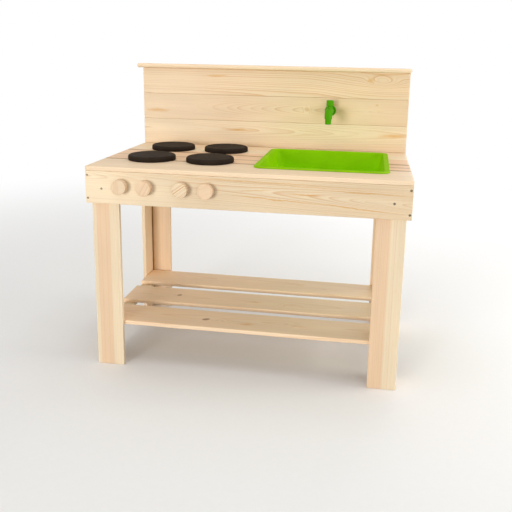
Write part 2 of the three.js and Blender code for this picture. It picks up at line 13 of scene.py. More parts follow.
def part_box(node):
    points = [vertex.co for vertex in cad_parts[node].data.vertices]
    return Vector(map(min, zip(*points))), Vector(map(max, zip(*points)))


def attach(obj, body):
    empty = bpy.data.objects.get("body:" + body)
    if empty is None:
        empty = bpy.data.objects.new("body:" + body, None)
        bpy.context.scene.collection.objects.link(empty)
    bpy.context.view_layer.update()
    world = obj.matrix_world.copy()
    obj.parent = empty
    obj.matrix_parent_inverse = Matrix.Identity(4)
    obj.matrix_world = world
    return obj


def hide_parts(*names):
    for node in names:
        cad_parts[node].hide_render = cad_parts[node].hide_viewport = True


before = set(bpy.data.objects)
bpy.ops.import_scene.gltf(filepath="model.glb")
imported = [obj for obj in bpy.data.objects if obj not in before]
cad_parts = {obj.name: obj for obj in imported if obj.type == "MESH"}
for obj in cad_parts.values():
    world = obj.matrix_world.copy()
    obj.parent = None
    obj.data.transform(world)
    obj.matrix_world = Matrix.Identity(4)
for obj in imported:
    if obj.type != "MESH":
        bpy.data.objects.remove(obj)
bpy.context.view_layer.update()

bl_info = {
    "name": "Mud Kitchen",
    "version": (1, 0, 0),
    "blender": (4, 5, 0),
    "location": "3D View > Sidebar > Mud Kitchen",
    "description": "Builds a pine mud kitchen from boards, turned parts and mouldings",
    "category": "Object",
}

MM = 0.001
DIRECTIONS = {"x": (1, 0, 0), "y": (0, 1, 0), "z": (0, 0, 1)}
FRONT = (0.0, -1.0, 0.0)
BACK = (0.0, 1.0, 0.0)
SIDES = {"left": -1.0, "right": 1.0}
QUARTER = math.pi / 2


# Colours

def linear(hex_colour):
    """An sRGB hex colour as linear red, green and blue: c/12.92 below 0.04045, and
    ((c + 0.055)/1.055)^2.4 above it."""
    code = np.array([int(hex_colour[i:i + 2], 16) for i in (1, 3, 5)]) / 255
    return tuple(np.where(code <= 0.04045, code / 12.92, ((code + 0.055) / 1.055) ** 2.4))


def solid(colour):
    """A colour with full alpha, as node sockets want it."""
    return (*colour[:3], 1.0)


# Settings that a user would change

class WoodSettings(bpy.types.PropertyGroup):
    early_wood: FloatVectorProperty(
        name="Early wood", description="Pale wood between the growth rings' lines",
        subtype="COLOR", min=0, max=1, default=linear("#F0DCBB"))
    late_wood: FloatVectorProperty(
        name="Late wood", description="The rings' darker lines",
        subtype="COLOR", min=0, max=1, default=linear("#D4A06A"))
    heart_wood: FloatVectorProperty(
        name="Heartwood", description="Pinkish wood near the pith",
        subtype="COLOR", min=0, max=1, default=linear("#EBC6A2"))
    knot_wood: FloatVectorProperty(
        name="Knot", description="Core of a knot",
        subtype="COLOR", min=0, max=1, default=linear("#8A5A36"))
    stain_wood: FloatVectorProperty(
        name="Resin streak", description="Golden streaks of resin-rich wood",
        subtype="COLOR", min=0, max=1, default=linear("#DAA14D"))
    arris: FloatProperty(
        name="Arris", description="Rounding of the boards' edges",
        unit="LENGTH", min=0.0005, max=0.003, default=1.5 * MM)


class FittingSettings(bpy.types.PropertyGroup):
    sink_colour: FloatVectorProperty(
        name="Sink", description="Colour of the sink's plastic",
        subtype="COLOR", min=0, max=1, default=linear("#A8E800"))
    tap_colour: FloatVectorProperty(
        name="Tap", description="Colour of the tap's plastic",
        subtype="COLOR", min=0, max=1, default=linear("#4E9806"))
    hob_colour: FloatVectorProperty(
        name="Hob discs", description="Paint of the hob discs",
        subtype="COLOR", min=0, max=1, default=linear("#292018"))
    thread: BoolProperty(
        name="Screw threads", description="Cut real threads on the screws", default=True)


class StageSettings(bpy.types.PropertyGroup):
    floor_colour: FloatVectorProperty(
        name="Floor", description="Colour of the floor",
        subtype="COLOR", min=0, max=1, default=linear("#F6F5F3"))
    key_light: FloatProperty(
        name="Key light", description="Soft lamp at the front left, in watts",
        min=0, max=400, default=196)
    fill_light: FloatProperty(
        name="Fill light", description="Soft lamp at the front right, in watts",
        min=0, max=400, default=40)
    side_light: FloatProperty(
        name="Side light", description="Wide lamp at the right, level with the bench, in watts",
        min=0, max=400, default=42)
    back_light: FloatProperty(
        name="Back light", description="Low wide lamp behind, for the shelf, in watts",
        min=0, max=400, default=20)
    top_light: FloatProperty(
        name="Top light", description="Wide lamp over the worktop, in watts",
        min=0, max=400, default=19)
    sky: FloatProperty(
        name="Sky", description="Even light from all round",
        min=0, max=1, default=0.54)
    focal_length: FloatProperty(
        name="Focal length", description="Lens for a 36 mm wide picture",
        subtype="DISTANCE_CAMERA", min=20, max=120, default=46.01)


# Places in the construction model

def middle(node):
    """Centre of a construction node's box."""
    low, high = (np.array(corner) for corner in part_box(node))
    return (low + high) / 2


def size(node):
    """Width, depth and height of a construction node's box."""
    low, high = (np.array(corner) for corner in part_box(node))
    return high - low


def back_middle(node):
    """Centre of the rear side of a construction node's box."""
    return middle(node) + size(node) * (0, 0.5, 0)


def three_axes(u, w):
    """Rows u, v and w of a right-handed set of axes, where v = w × u."""
    return np.array([u, np.cross(w, u), w], float)


# Surfaces

def outline(corners, radii, inset=0.0, steps=4, pitch=20 * MM, cuts=None):
    """A closed outline with rounded corners, set in by an inset.

    Each corner moves by inset times (n1 + n2) / (1 + n1·n2), where n1 and n2 are the inward
    normals of the sides that meet there. Its arc has the radius less the inset where the outline
    turns outwards, and the radius plus the inset where it turns inwards. The sides between the
    arcs are cut into equal lengths of about one pitch, or into a given count.
    """
    corners = np.asarray(corners, float)
    before = corners - np.roll(corners, 1, axis=0)
    after = np.roll(corners, -1, axis=0) - corners
    lengths = np.linalg.norm(after, axis=1)
    arriving = before / np.linalg.norm(before, axis=1, keepdims=True)
    leaving = after / lengths[:, None]
    n1 = np.stack([-arriving[:, 1], arriving[:, 0]], axis=1)
    n2 = np.stack([-leaving[:, 1], leaving[:, 0]], axis=1)
    crossed = arriving[:, 0] * leaving[:, 1] - arriving[:, 1] * leaving[:, 0]
    turn = np.arctan2(crossed, (arriving * leaving).sum(axis=1))
    outward = np.sign(turn)
    mitre = (n1 + n2) / (1 + (n1 * n2).sum(axis=1))[:, None]
    radius = np.maximum(np.asarray(radii, float) - outward * inset, 0.1 * MM)
    centre = corners + inset * mitre + (outward * radius)[:, None] * mitre
    angle = np.arctan2(n1[:, 1], n1[:, 0])[:, None] + turn[:, None] * np.linspace(0, 1, steps + 1)
    spokes = np.stack([np.cos(angle), np.sin(angle)], axis=-1)
    arcs = centre[:, None] - (outward * radius)[:, None, None] * spokes
    counts = np.maximum(1, np.round(lengths / pitch)).astype(int)
    if cuts is not None:
        counts[:] = cuts
    runs = []
    for corner, count in enumerate(counts):
        share = (np.arange(1, count) / count)[:, None]
        runs.append(arcs[corner])
        runs.append(arcs[corner][-1] * (1 - share) + arcs[(corner + 1) % len(arcs)][0] * share)
    return np.concatenate(runs)


def rectangle(width, height):
    """Corners of a rectangle about the middle, anticlockwise from the lower left."""
    return np.array([(-1, -1), (1, -1), (1, 1), (-1, 1)]) * (width / 2, height / 2)


def angles(sides):
    """Even steps of a full turn, from 0."""
    return np.linspace(0, 2 * np.pi, sides, endpoint=False)


def circles(r, h, a):
    """Points (r·cos a, r·sin a, h) for radii r and heights h at the angles a."""
    return np.stack(np.broadcast_arrays(r * np.cos(a), r * np.sin(a), h), axis=-1)


def turned(profile, sides, lobes=0, lobe_depth=0.0):
    """Rings of a shape turned about +Z from rows of (radius, height, share of the lobes) in
    millimetres.

    A point is (r·cos a, r·sin a, h), where r = radius − share·depth·(1 − cos(lobes·a)) / 2.
    """
    profile = np.array([(*row, 0.0)[:3] for row in profile], float) * (MM, MM, 1)
    a = angles(sides)
    r = profile[:, :1] - profile[:, 2:] * lobe_depth * MM * (1 - np.cos(lobes * a)) / 2
    return circles(r, profile[:, 1:2], a)


def arc(radius_at, height_at, radius, start, end, steps=5):
    """Profile rows on a circle about (radius_at, height_at), between two angles in degrees."""
    a = np.radians(np.linspace(start, end, steps + 1))
    return [(radius_at + radius * c, height_at + radius * s) for c, s in zip(np.cos(a), np.sin(a))]


def to_front(points):
    """Turns +Z to -Y, for pieces turned about an axis that faces the user."""
    return np.stack([points[..., 0], -points[..., 2], points[..., 1]], axis=-1)


def ring_faces(rows, columns, first=0, loop=False):
    """Quads from each ring of points to the next; ring r, point c is first + r·columns + c."""
    r, c = np.meshgrid(np.arange(rows if loop else rows - 1), np.arange(columns), indexing="ij")
    beside = (c + 1) % columns
    above = (r + 1) % rows
    corners = [r * columns + c, r * columns + beside, above * columns + beside, above * columns + c]
    return (np.stack(corners, axis=-1).reshape(-1, 4) + first).tolist()


def stack(rings, place=(0, 0, 0), loop=False):
    """Points and faces of a closed skin through rings of points (ring, point, xyz), moved to a
    place.

    The rings run anticlockwise seen from the side they climb towards, so the faces look out. The
    first and last ring are closed with flat faces, or joined to each other in a loop.
    """
    rows, columns, _ = rings.shape
    faces = ring_faces(rows, columns, loop=loop)
    if not loop:
        faces.append(list(range(columns))[::-1])
        faces.append(list(range((rows - 1) * columns, rows * columns)))
    return rings.reshape(-1, 3) + place, faces


def flat_face(points, loops, up):
    """Triangles over a level face with holes in it, all facing up or all down.

    The fill winds them all one way, the flat ones between points of one straight side too. It is
    done in millimetres, because in metres it takes near points for one.
    """
    rims = [[Vector((*points[i][:2] / MM, 0.0)) for i in loop] for loop in loops]
    triangles = np.concatenate(loops)[np.array(tessellate_polygon(rims))]
    a, b, c = (points[triangles[:, i]] for i in range(3))
    faces_up = np.cross(b - a, c - a)[:, 2].sum() > 0
    return (triangles if faces_up == up else triangles[:, ::-1]).tolist()


def plate(corners, radii, thickness, ease, holes=(), seed=0.0):
    """Points, faces and edge shares of a board in its own axes, its show face at w = 0.

    Rings climb from the back face to the show face. On an arris of radius e at angle a, a ring is
    set in by e·(1 − sin a) and lies e·(1 − cos a) from its face. The radius e itself wavers round
    the outline by up to a third, as hand sanding leaves it. A hole is a stack of circles, rows of
    radius and depth in millimetres, that runs from the show face to the back.
    """
    base = outline(corners, radii)
    inward = (outline(corners, radii, MM) - base) / MM
    steps = np.linalg.norm(base - np.roll(base, 1, axis=0), axis=1)
    along = np.cumsum(steps) / steps.sum() * 2 * np.pi
    waver = 1 + 0.2 * np.sin(5 * along + seed) + 0.12 * np.sin(13 * along + 2.3 * seed)
    worn = ease * waver if ease < 3 * MM else np.full(len(base), ease)
    support = outline(corners, radii, ease + (0.7 * MM if holes else 4 * MM))
    widest = 1.35 * ease
    wall = widest + min(3 * MM, (thickness - 2 * widest) / 3)
    arris = [(1 - np.sin(a), 1 - np.cos(a)) for a in np.linspace(0, QUARTER, 5)]
    rows = [(inset, -thickness, rise) for inset, rise in arris]
    rows += [(0.0, -thickness + wall, 0.0), (0.0, -wall, 0.0)]
    rows += [(inset, 0.0, -rise) for inset, rise in arris[::-1]]
    rings = [np.column_stack([base + (worn * inset)[:, None] * inward, height + worn * rise])
             for inset, height, rise in rows]
    rings.insert(0, np.column_stack([support, np.full(len(base), -thickness)]))
    rings.append(np.column_stack([support, np.zeros(len(base))]))
    shares = [0.0] + [1.0] * 5 + [0.0] * 2 + [1.0] * 5 + [0.0]
    rows, columns, _ = np.shape(rings)
    count = rows * columns
    points = [np.concatenate(rings)]
    edge = [np.repeat(shares, columns)]
    faces = ring_faces(rows, columns)
    bottom = [np.arange(columns)]
    top = [count - columns + np.arange(columns)]
    a = angles(20)
    for u, v, profile in holes:
        profile = np.array(profile, float) * MM
        walls = circles(profile[:, :1], profile[:, 1:], a).reshape(-1, 3) + (u, v, 0)
        points.append(walls)
        edge.append(np.full(len(walls), 0.5))
        faces += ring_faces(len(profile), len(a), first=count)
        top.append(count + np.arange(len(a)))
        count += len(walls)
        bottom.append(count - len(a) + np.arange(len(a)))
    points = np.concatenate(points)
    faces += flat_face(points, bottom, False) + flat_face(points, top, True)
    return points, faces, np.concatenate(edge)


def put(name, skin, material, nodes=(), body="bench", edge=None, grain=None):
    """Makes a finished piece of points and faces, in the row frame, that rides on a body.

    The attribute "edge" is 1 on worn arrises, and on the hob discs' sides and the sink's rim,
    where the paint turns it into painted shade. The attribute "end" rises from 0 to 1 where the
    surface's normal turns to the grain's own direction, which shows end grain.
    """
    points, faces = skin
    mesh = bpy.data.meshes.new(name)
    mesh.from_pydata(points.tolist(), [], faces)
    mesh.polygons.foreach_set("use_smooth", np.ones(len(mesh.polygons), bool))
    mesh.set_sharp_from_angle(angle=math.radians(40))
    mesh.update()
    shares = {"edge": np.zeros(len(points)) if edge is None else edge}
    if grain is not None:
        normals = np.zeros(len(points) * 3, np.float32)
        mesh.vertex_normals.foreach_get("vector", normals)
        facing = np.abs(normals.reshape(-1, 3) @ np.asarray(grain, np.float32))
        shares["end"] = np.clip((facing - 0.45) / 0.4, 0, 1)
    for key, values in shares.items():
        made = mesh.attributes.new(key, "FLOAT", "POINT")
        made.data.foreach_set("value", values.astype(np.float32))
    mesh.materials.append(material)
    piece = bpy.data.objects.new(name, mesh)
    bpy.context.scene.collection.objects.link(piece)
    if nodes:
        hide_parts(*nodes)
    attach(piece, body)


def mould(node, rings, place, plastic, body="bench", edge=None, loop=False):
    """Replaces a construction node with a moulding through rings of points."""
    put(node + "_moulding", stack(rings, place, loop), plastic, [node], body, edge)


# Materials

def add(tree, kind, *inputs, out=0, stops=(), **settings):
    """Adds a shader node with its settings and ramp stops, and fills or links its inputs.

    The kind may name an operation too, as in "Math ADD". The inputs go to the sockets that the
    settings leave in use, in their order, and None skips one. It gives back an output in use, by
    place or name, or the whole node where out is None.
    """
    kind, _, operation = kind.partition(" ")
    made = tree.nodes.new("ShaderNode" + kind)
    if operation:
        made.operation = operation
    for key, value in settings.items():
        setattr(made, key, value)
    for _ in stops[2:]:
        made.color_ramp.elements.new(0.5)
    for element, (position, grey) in zip(made.color_ramp.elements if stops else (), stops):
        element.position = position
        element.color = (grey, grey, grey, 1.0)
    for socket, value in zip([socket for socket in made.inputs if socket.enabled], inputs):
        if isinstance(value, bpy.types.NodeSocket):
            tree.links.new(value, socket)
        elif value is not None:
            socket.default_value = value
    if out is None:
        return made
    if isinstance(out, str):
        return made.outputs[out]
    return [socket for socket in made.outputs if socket.enabled][out]


def group_tree(name, numbers, outputs):
    """An empty node group that takes a place and some numbers, and the nodes that stand for its
    inputs and outputs."""
    tree = bpy.data.node_groups.new(name, "ShaderNodeTree")
    inputs = {"place": "Vector", **dict.fromkeys(numbers, "Float")}
    for side, sockets in (("INPUT", inputs), ("OUTPUT", outputs)):
        for label, kind in sockets.items():
            tree.interface.new_socket(label, in_out=side, socket_type="NodeSocket" + kind)
    return tree, tree.nodes.new("NodeGroupInput").outputs, tree.nodes.new("NodeGroupOutput").inputs


def mark_group():
    """A soft oval mark on a board: 1 in its middle, falling smoothly to 0 at its edge.

    Its distance is the length of ((x − X) / half length, (y − Y − slope·(x − X)) / half width).
    """
    tree, given, made = group_tree(
        "board mark", ("x", "y", "slope", "half length", "half width"),
        {"fall": "Float", "distance": "Float"})
    place = add(tree, "SeparateXYZ", given["place"], out=None).outputs
    dx = add(tree, "Math SUBTRACT", place[0], given["x"])
    dy = add(tree, "Math SUBTRACT", place[1], given["y"])
    rise = add(tree, "Math MULTIPLY", dx, given["slope"])
    dy = add(tree, "Math SUBTRACT", dy, rise)
    across = add(tree, "Math DIVIDE", dx, given["half length"])
    up = add(tree, "Math DIVIDE", dy, given["half width"])
    both = add(tree, "CombineXYZ", across, up)
    far = add(tree, "VectorMath LENGTH", both)
    fall = add(tree, "MapRange", far, 1.0, 0.0, 0.0, 1.0, interpolation_type="SMOOTHSTEP")
    tree.links.new(fall, made["fall"])
    tree.links.new(far, made["distance"])


@dataclass(frozen=True)
class Grain:
    """How a board was sawn from its trunk, in millimetres of the board's own axes.

    Marks are rows of kind, x, y, slope, half length, half width and strength. A knot bends the
    rings round its dark core, an eye bends them alone, a streak stains them, a cloud makes the
    wood paler or darker, and a plain mark fades the rings' lines. Some wide streaks and clouds
    are painted light and painted shade across a board.
    """
    pith: float = 0.0
    depth: float = 45.0
    drift: float = 0.0
    rise: float = 0.0
    bend: float = 0.0
    spacing: float = 5.0
    contrast: float = 0.55
    heart: float = 0.0
    heart_strength: float = 0.0
    wander: float = 1.0
    # A board's overall lightness; on the shelf planks it is raised as painted light.
    tone: float = 1.0
    seed: float = 0.0
    marks: tuple = ()


# What each kind of mark adds to; a knot has a core too. The streaks' sum holds resin stains and,
# from wide streaks, painted shade.
MARK_SUMS = {"knot": "shift", "eye": "shift", "streak": "stain_and_shade", "cloud": "shade",
             "plain": "plain", "core": "core"}


def growth_group(wood):
    """Growth rings of a pine trunk as a sawn board shows them, in millimetres of the board's axes.

    The pith runs along x at y = pith + drift·x, and depth + rise·x + bend·x² below the show face.
    A ring is an even step of the distance from it, which slow noise bends as a real trunk does:
    by up to 16 mm and, in ripples, 4 mm, times the wander.
    """
    numbers = [field.name for field in fields(Grain)][:-1]
    tree, given, made = group_tree(
        "pine growth", (*numbers, *dict.fromkeys(MARK_SUMS.values())),
        {"colour": "Color", "roughness": "Float", "height": "Float"})
    place = add(tree, "SeparateXYZ", given["place"], out=None).outputs
    seed = add(tree, "CombineXYZ", given["seed"], given["seed"], given["seed"])
    seeded = add(tree, "VectorMath MULTIPLY_ADD", seed, (537.0, 211.0, 89.0), given["place"])

    # Noise stretched along the trunk: its bends of 450 by 75 mm, ripples of 80 by 20 mm, fibres
    # of 125 by 1.4 mm, broad changes of tone of 250 by 50 mm, and resin dashes of 11 by 0.9 mm
    noise = []
    for along, across, detail in ((0.0022, 0.0133, 2.0), (0.0125, 0.05, 2.0), (0.008, 0.7, 3.0),
                                  (0.004, 0.02, 1.0), (0.09, 1.1, 1.0)):
        at = add(tree, "VectorMath MULTIPLY", seeded, (along, across, across))
        noise.append(add(tree, "TexNoise", at, 1.0, detail))
    slow, ripple, fibre, tone, dash = noise

    # Distance from the pith
    pith = add(tree, "Math MULTIPLY_ADD", place[0], given["drift"], given["pith"])
    dy = add(tree, "Math SUBTRACT", place[1], pith)
    deep = add(tree, "Math MULTIPLY_ADD", place[0], given["rise"], given["depth"])
    squared = add(tree, "Math MULTIPLY", place[0], place[0])
    deep = add(tree, "Math MULTIPLY_ADD", squared, given["bend"], deep)
    dz = add(tree, "Math ADD", place[2], deep)
    spoke = add(tree, "CombineXYZ", 0.0, dy, dz)
    radius = add(tree, "VectorMath LENGTH", spoke)
    bends = add(tree, "Math MULTIPLY_ADD", slow, 16.0, -8.0)
    bends = add(tree, "Math MULTIPLY_ADD", ripple, 4.0, bends)
    radius = add(tree, "Math MULTIPLY_ADD", bends, given["wander"], radius)
    radius = add(tree, "Math ADD", radius, given["shift"])

    # Rings of uneven width, each with pale early wood and a dark line at its outer side
    ring = add(tree, "Math DIVIDE", radius, given["spacing"])
    pace_at = add(tree, "Math MULTIPLY_ADD", ring, 0.4, given["seed"])
    pace = add(tree, "TexNoise", pace_at, 1.0, 1.0, noise_dimensions="1D")
    ring = add(tree, "Math MULTIPLY_ADD", pace, 1.6, ring)
    part = add(tree, "Math FRACT", ring)
    line = add(tree, "ValToRGB", part,
               stops=((0.0, 0.0), (0.4, 0.05), (0.76, 0.5), (0.92, 1.0), (1.0, 0.0)))
    year = add(tree, "Math FLOOR", ring)
    lot = add(tree, "TexWhiteNoise", year, noise_dimensions="1D")
    vigour = add(tree, "MapRange", lot, 0.0, 1.0, 0.35, 1.2)
    kept = add(tree, "Math SUBTRACT", 1.0, given["plain"], use_clamp=True)
    for share in (vigour, given["contrast"], kept):
        line = add(tree, "Math MULTIPLY", line, share)

    # Colour
    late_wood = solid(wood.late_wood)
    colour = add(tree, "Mix", line, solid(wood.early_wood), late_wood, data_type="RGBA")
    inside = add(tree, "Math SUBTRACT", given["heart"], radius)
    heart = add(tree, "MapRange", inside, -1.5, 1.5, 0.0, given["heart_strength"])
    tinted = add(tree, "Mix", line, solid(wood.heart_wood), late_wood, data_type="RGBA")
    # The streaks' sum holds resin stains, and painted shade where a wide streak darkens half a
    # board.
    resin = add(tree, "MapRange", dash, 0.68, 0.78, 0.0, 0.35)
    stain_and_shade = add(tree, "Math ADD", given["stain_and_shade"], resin)
    for share, over in ((heart, tinted), (stain_and_shade, solid(wood.stain_wood)),
                        (given["core"], solid(wood.knot_wood))):
        colour = add(tree, "Mix", share, colour, over, data_type="RGBA")

    # Light and dark of the fibres and the board, duller end grain and paler worn arrises. The
    # board's tone is painted light on the shelf planks, and wide clouds paint light and shade on
    # some boards.
    end = add(tree, "Attribute", attribute_name="end", out="Fac")
    edge = add(tree, "Attribute", attribute_name="edge", out="Fac")
    light = add(tree, "MapRange", tone, 0.3, 0.7, 0.955, 1.03)
    streak = add(tree, "MapRange", fibre, 0.3, 0.7, 0.96, 1.025)
    shade = add(tree, "Math ADD", given["shade"], 1.0)
    dim = add(tree, "MapRange", end, 0.0, 1.0, 1.0, 0.9)
    worn = add(tree, "MapRange", edge, 0.0, 1.0, 1.0, 1.03)
    for share in (streak, given["tone"], shade, dim, worn):
        light = add(tree, "Math MULTIPLY", light, share)
    colour = add(tree, "VectorMath SCALE", colour, light)

    # Late wood is denser and a little smoother, end grain is rougher
    rough = add(tree, "MapRange", fibre, 0.3, 0.7, 0.5, 0.62)
    rough = add(tree, "Math MULTIPLY_ADD", line, -0.08, rough)
    rough = add(tree, "Math MULTIPLY_ADD", end, 0.2, rough)
    height = add(tree, "Math MULTIPLY_ADD", line, 0.5, fibre)
    for label, source in {"colour": colour, "roughness": rough, "height": height}.items():
        tree.links.new(source, made[label])


def new_material(name):
    """An empty material, its node tree, its object coordinates and its shader, wired to the
    output."""
    material = bpy.data.materials.new(name)
    material.use_nodes = True
    tree = material.node_tree
    tree.nodes.clear()
    shader = add(tree, "BsdfPrincipled", out=None)
    add(tree, "OutputMaterial", shader.outputs[0], out=None)
    return material, tree, add(tree, "TexCoord", out="Object"), shader


def dress(tree, shader, colour, rough, height, strength, depth):
    """Wires a colour, a roughness and a bump of a height into a shader."""
    bump = add(tree, "Bump", strength, depth, None, height)
    for label, source in (("Base Color", colour), ("Roughness", rough), ("Normal", bump)):
        tree.links.new(source, shader.inputs[label])


def planed_pine(name, centre, axes, grain):
    """Planed softwood: pale early wood, honey late-wood lines, a faint satin from the planer's
    knives, and a darker, rougher end grain. Object coordinates are turned to the board's axes."""
    material, tree, where, shader = new_material(name)
    turn = Matrix(axes.tolist())
    place = add(tree, "Mapping", where, turn @ Vector(centre) * (-1 / MM), turn.to_euler("XYZ"),
                (1 / MM, 1 / MM, 1 / MM))
    drift_at = add(tree, "VectorMath MULTIPLY", place, (0.04, 0.09, 0.09))
    drift = add(tree, "TexNoise", drift_at, 1.0, 2.0, out="Color")
    drift = add(tree, "VectorMath SUBTRACT", drift, (0.5, 0.5, 0.5))
    wavy = add(tree, "VectorMath MULTIPLY_ADD", drift, (26.0, 7.0, 7.0), place)
    *numbers, marks = astuple(grain)
    total = dict.fromkeys(MARK_SUMS.values(), 0.0)
    for kind, *shape, strength in marks:
        fall, far = add(tree, "Group", wavy if kind == "streak" else place, *shape,
                        node_tree=bpy.data.node_groups["board mark"], out=None).outputs
        falls = {kind: (fall, strength)}
        if kind == "knot":
            falls["core"] = (add(tree, "MapRange", far, 0.36, 0.26), 0.75)
        for part, (share, most) in falls.items():
            label = MARK_SUMS[part]
            total[label] = add(tree, "Math MULTIPLY_ADD", share, most, total[label])
    growth = add(tree, "Group", place, *numbers, *total.values(),
                 node_tree=bpy.data.node_groups["pine growth"], out=None).outputs
    dress(tree, shader, *growth, strength=0.6, depth=0.15 * MM)
    shader.inputs["IOR"].default_value = 1.45
    shader.inputs["Specular IOR Level"].default_value = 0.35
    return material


def chalk_paint(name, colour):
    """Dark chalk paint, brushed on sanded wood: nearly matt, with fine brush lines that break up
    what sheen it has, and a darker brown down the sides as painted shade."""
    material, tree, where, shader = new_material(name)
    blotch = add(tree, "TexNoise", where, 28.0, 3.0)
    brushed = add(tree, "VectorMath MULTIPLY", where, (40.0, 900.0, 400.0))
    brush = add(tree, "TexNoise", brushed, 1.0, 2.0)
    edge = add(tree, "Attribute", attribute_name="edge", out="Fac")
    # Painted shade: the edge share darkens the sides with the darker brown.
    painted_side_shade = add(tree, "Math MULTIPLY", edge, 0.3)
    dust = add(tree, "MapRange", blotch, 0.35, 0.7, 0.0, 0.05)
    mixed = add(tree, "Mix", dust, solid(colour), solid(linear("#8A7B6C")), data_type="RGBA")
    mixed = add(tree, "Mix", painted_side_shade, mixed, solid(linear("#150F0A")), data_type="RGBA")
    rough = add(tree, "MapRange", brush, 0.3, 0.7, 0.7, 0.82)
    dress(tree, shader, mixed, rough, brush, strength=0.5, depth=0.1 * MM)
    shader.inputs["IOR"].default_value = 1.5
    shader.inputs["Specular IOR Level"].default_value = 0.08
    return material


def moulded_plastic(name, colour, roughness, painted_arris_light=0.06):
    """Moulded polypropylene: even colour with slight flow clouds, a soft gloss, a fine mould
    texture of about 1 mm, and arrises whose brightness a share scales: painted light above 0,
    painted shade below, as on the sink's rim."""
    material, tree, where, shader = new_material(name)
    cloud = add(tree, "TexNoise", where, 18.0, 3.0)
    peel = add(tree, "TexNoise", where, 900.0, 2.0)
    scuff_at = add(tree, "VectorMath MULTIPLY", where, (60.0, 700.0, 300.0))
    scuff = add(tree, "TexNoise", scuff_at, 1.0, 2.0)
    edge = add(tree, "Attribute", attribute_name="edge", out="Fac")
    light = add(tree, "MapRange", cloud, 0.3, 0.7, 0.94, 1.03)
    # Painted light on the arrises; the sink's share below 0 paints its rim darker as painted shade.
    light = add(tree, "Math MULTIPLY_ADD", edge, painted_arris_light, light)
    tint = add(tree, "VectorMath SCALE", colour, light)
    rough = add(tree, "MapRange", scuff, 0.3, 0.7, roughness - 0.05, roughness + 0.07)
    dress(tree, shader, tint, rough, peel, strength=0.35, depth=0.08 * MM)
    shader.inputs["IOR"].default_value = 1.49
    shader.inputs["Specular IOR Level"].default_value = 0.05
    return material


def zinc_plate(name):
    """Zinc-plated steel: grey metal with faint cloudy patches."""
    material, tree, where, shader = new_material(name)
    cloud = add(tree, "TexNoise", where, 420.0, 3.0)
    colour = add(tree, "Mix", cloud, solid(linear("#786C5A")), solid(linear("#A3947C")),
                 data_type="RGBA")
    rough = add(tree, "MapRange", cloud, 0.3, 0.7, 0.34, 0.5)
    dress(tree, shader, colour, rough, cloud, strength=0.3, depth=0.05 * MM)
    shader.inputs["Metallic"].default_value = 1.0
    return material


def matt_floor_paint(name, colour):
    """Matt painted floor: faint roller texture, and white where it runs out of sight. It throws
    back only part of its light on the object, so that shadows keep their depth."""
    material, tree, where, shader = new_material(name)
    roller = add(tree, "TexNoise", where, 60.0, 3.0)
    light = add(tree, "MapRange", roller, 0.0, 1.0, 0.985, 1.015)
    seen = add(tree, "LightPath", out="Is Camera Ray")
    share = add(tree, "MapRange", seen, 0.0, 1.0, 0.58, 1.0)
    light = add(tree, "Math MULTIPLY", light, share)
    tint = add(tree, "VectorMath SCALE", colour, light)
    tree.links.new(tint, shader.inputs["Base Color"])
    shader.inputs["Roughness"].default_value = 0.85
    far = add(tree, "VectorMath LENGTH", where)
    fade = add(tree, "MapRange", far, 0.9, 3.2, interpolation_type="SMOOTHSTEP")
    fade = add(tree, "Math MULTIPLY", fade, seen)
    white = add(tree, "Emission", (1, 1, 1, 1), 1.0)
    mixed = add(tree, "MixShader", fade, shader.outputs[0], white)
    output = next(node for node in tree.nodes if node.type == "OUTPUT_MATERIAL")
    tree.links.new(mixed, output.inputs["Surface"])
    return material


# Boards: the direction of the grain, the side that shows, and how each was sawn

def band(y, slope, stain_width, stain_and_shade, shade_width, shade):
    """Two marks that tint and shade a band along a whole board; on the rear legs the darker mark is
    painted shade in the inner corner.
    """
    return (("streak", 0, y, slope, 900, stain_width, stain_and_shade),
            ("cloud", 0, y, slope, 900, shade_width, shade))


def worktop_middle(depth, first, second, shade):
    """Grain of the worktop's middle plank, whose two lengths are set to one another."""
    return Grain(pith=-10, depth=depth, rise=0.015, spacing=9, contrast=0.4, tone=1.05, seed=13.2,
                 heart=200, heart_strength=0.9,
                 marks=(*band(first, -0.045, 13, 0.15, 15, -0.3),
                        *band(second, -0.09, 14, 0.5, 14, -0.55),
                        *band(-99, 0.0, 12, 0.5, 12, shade)))


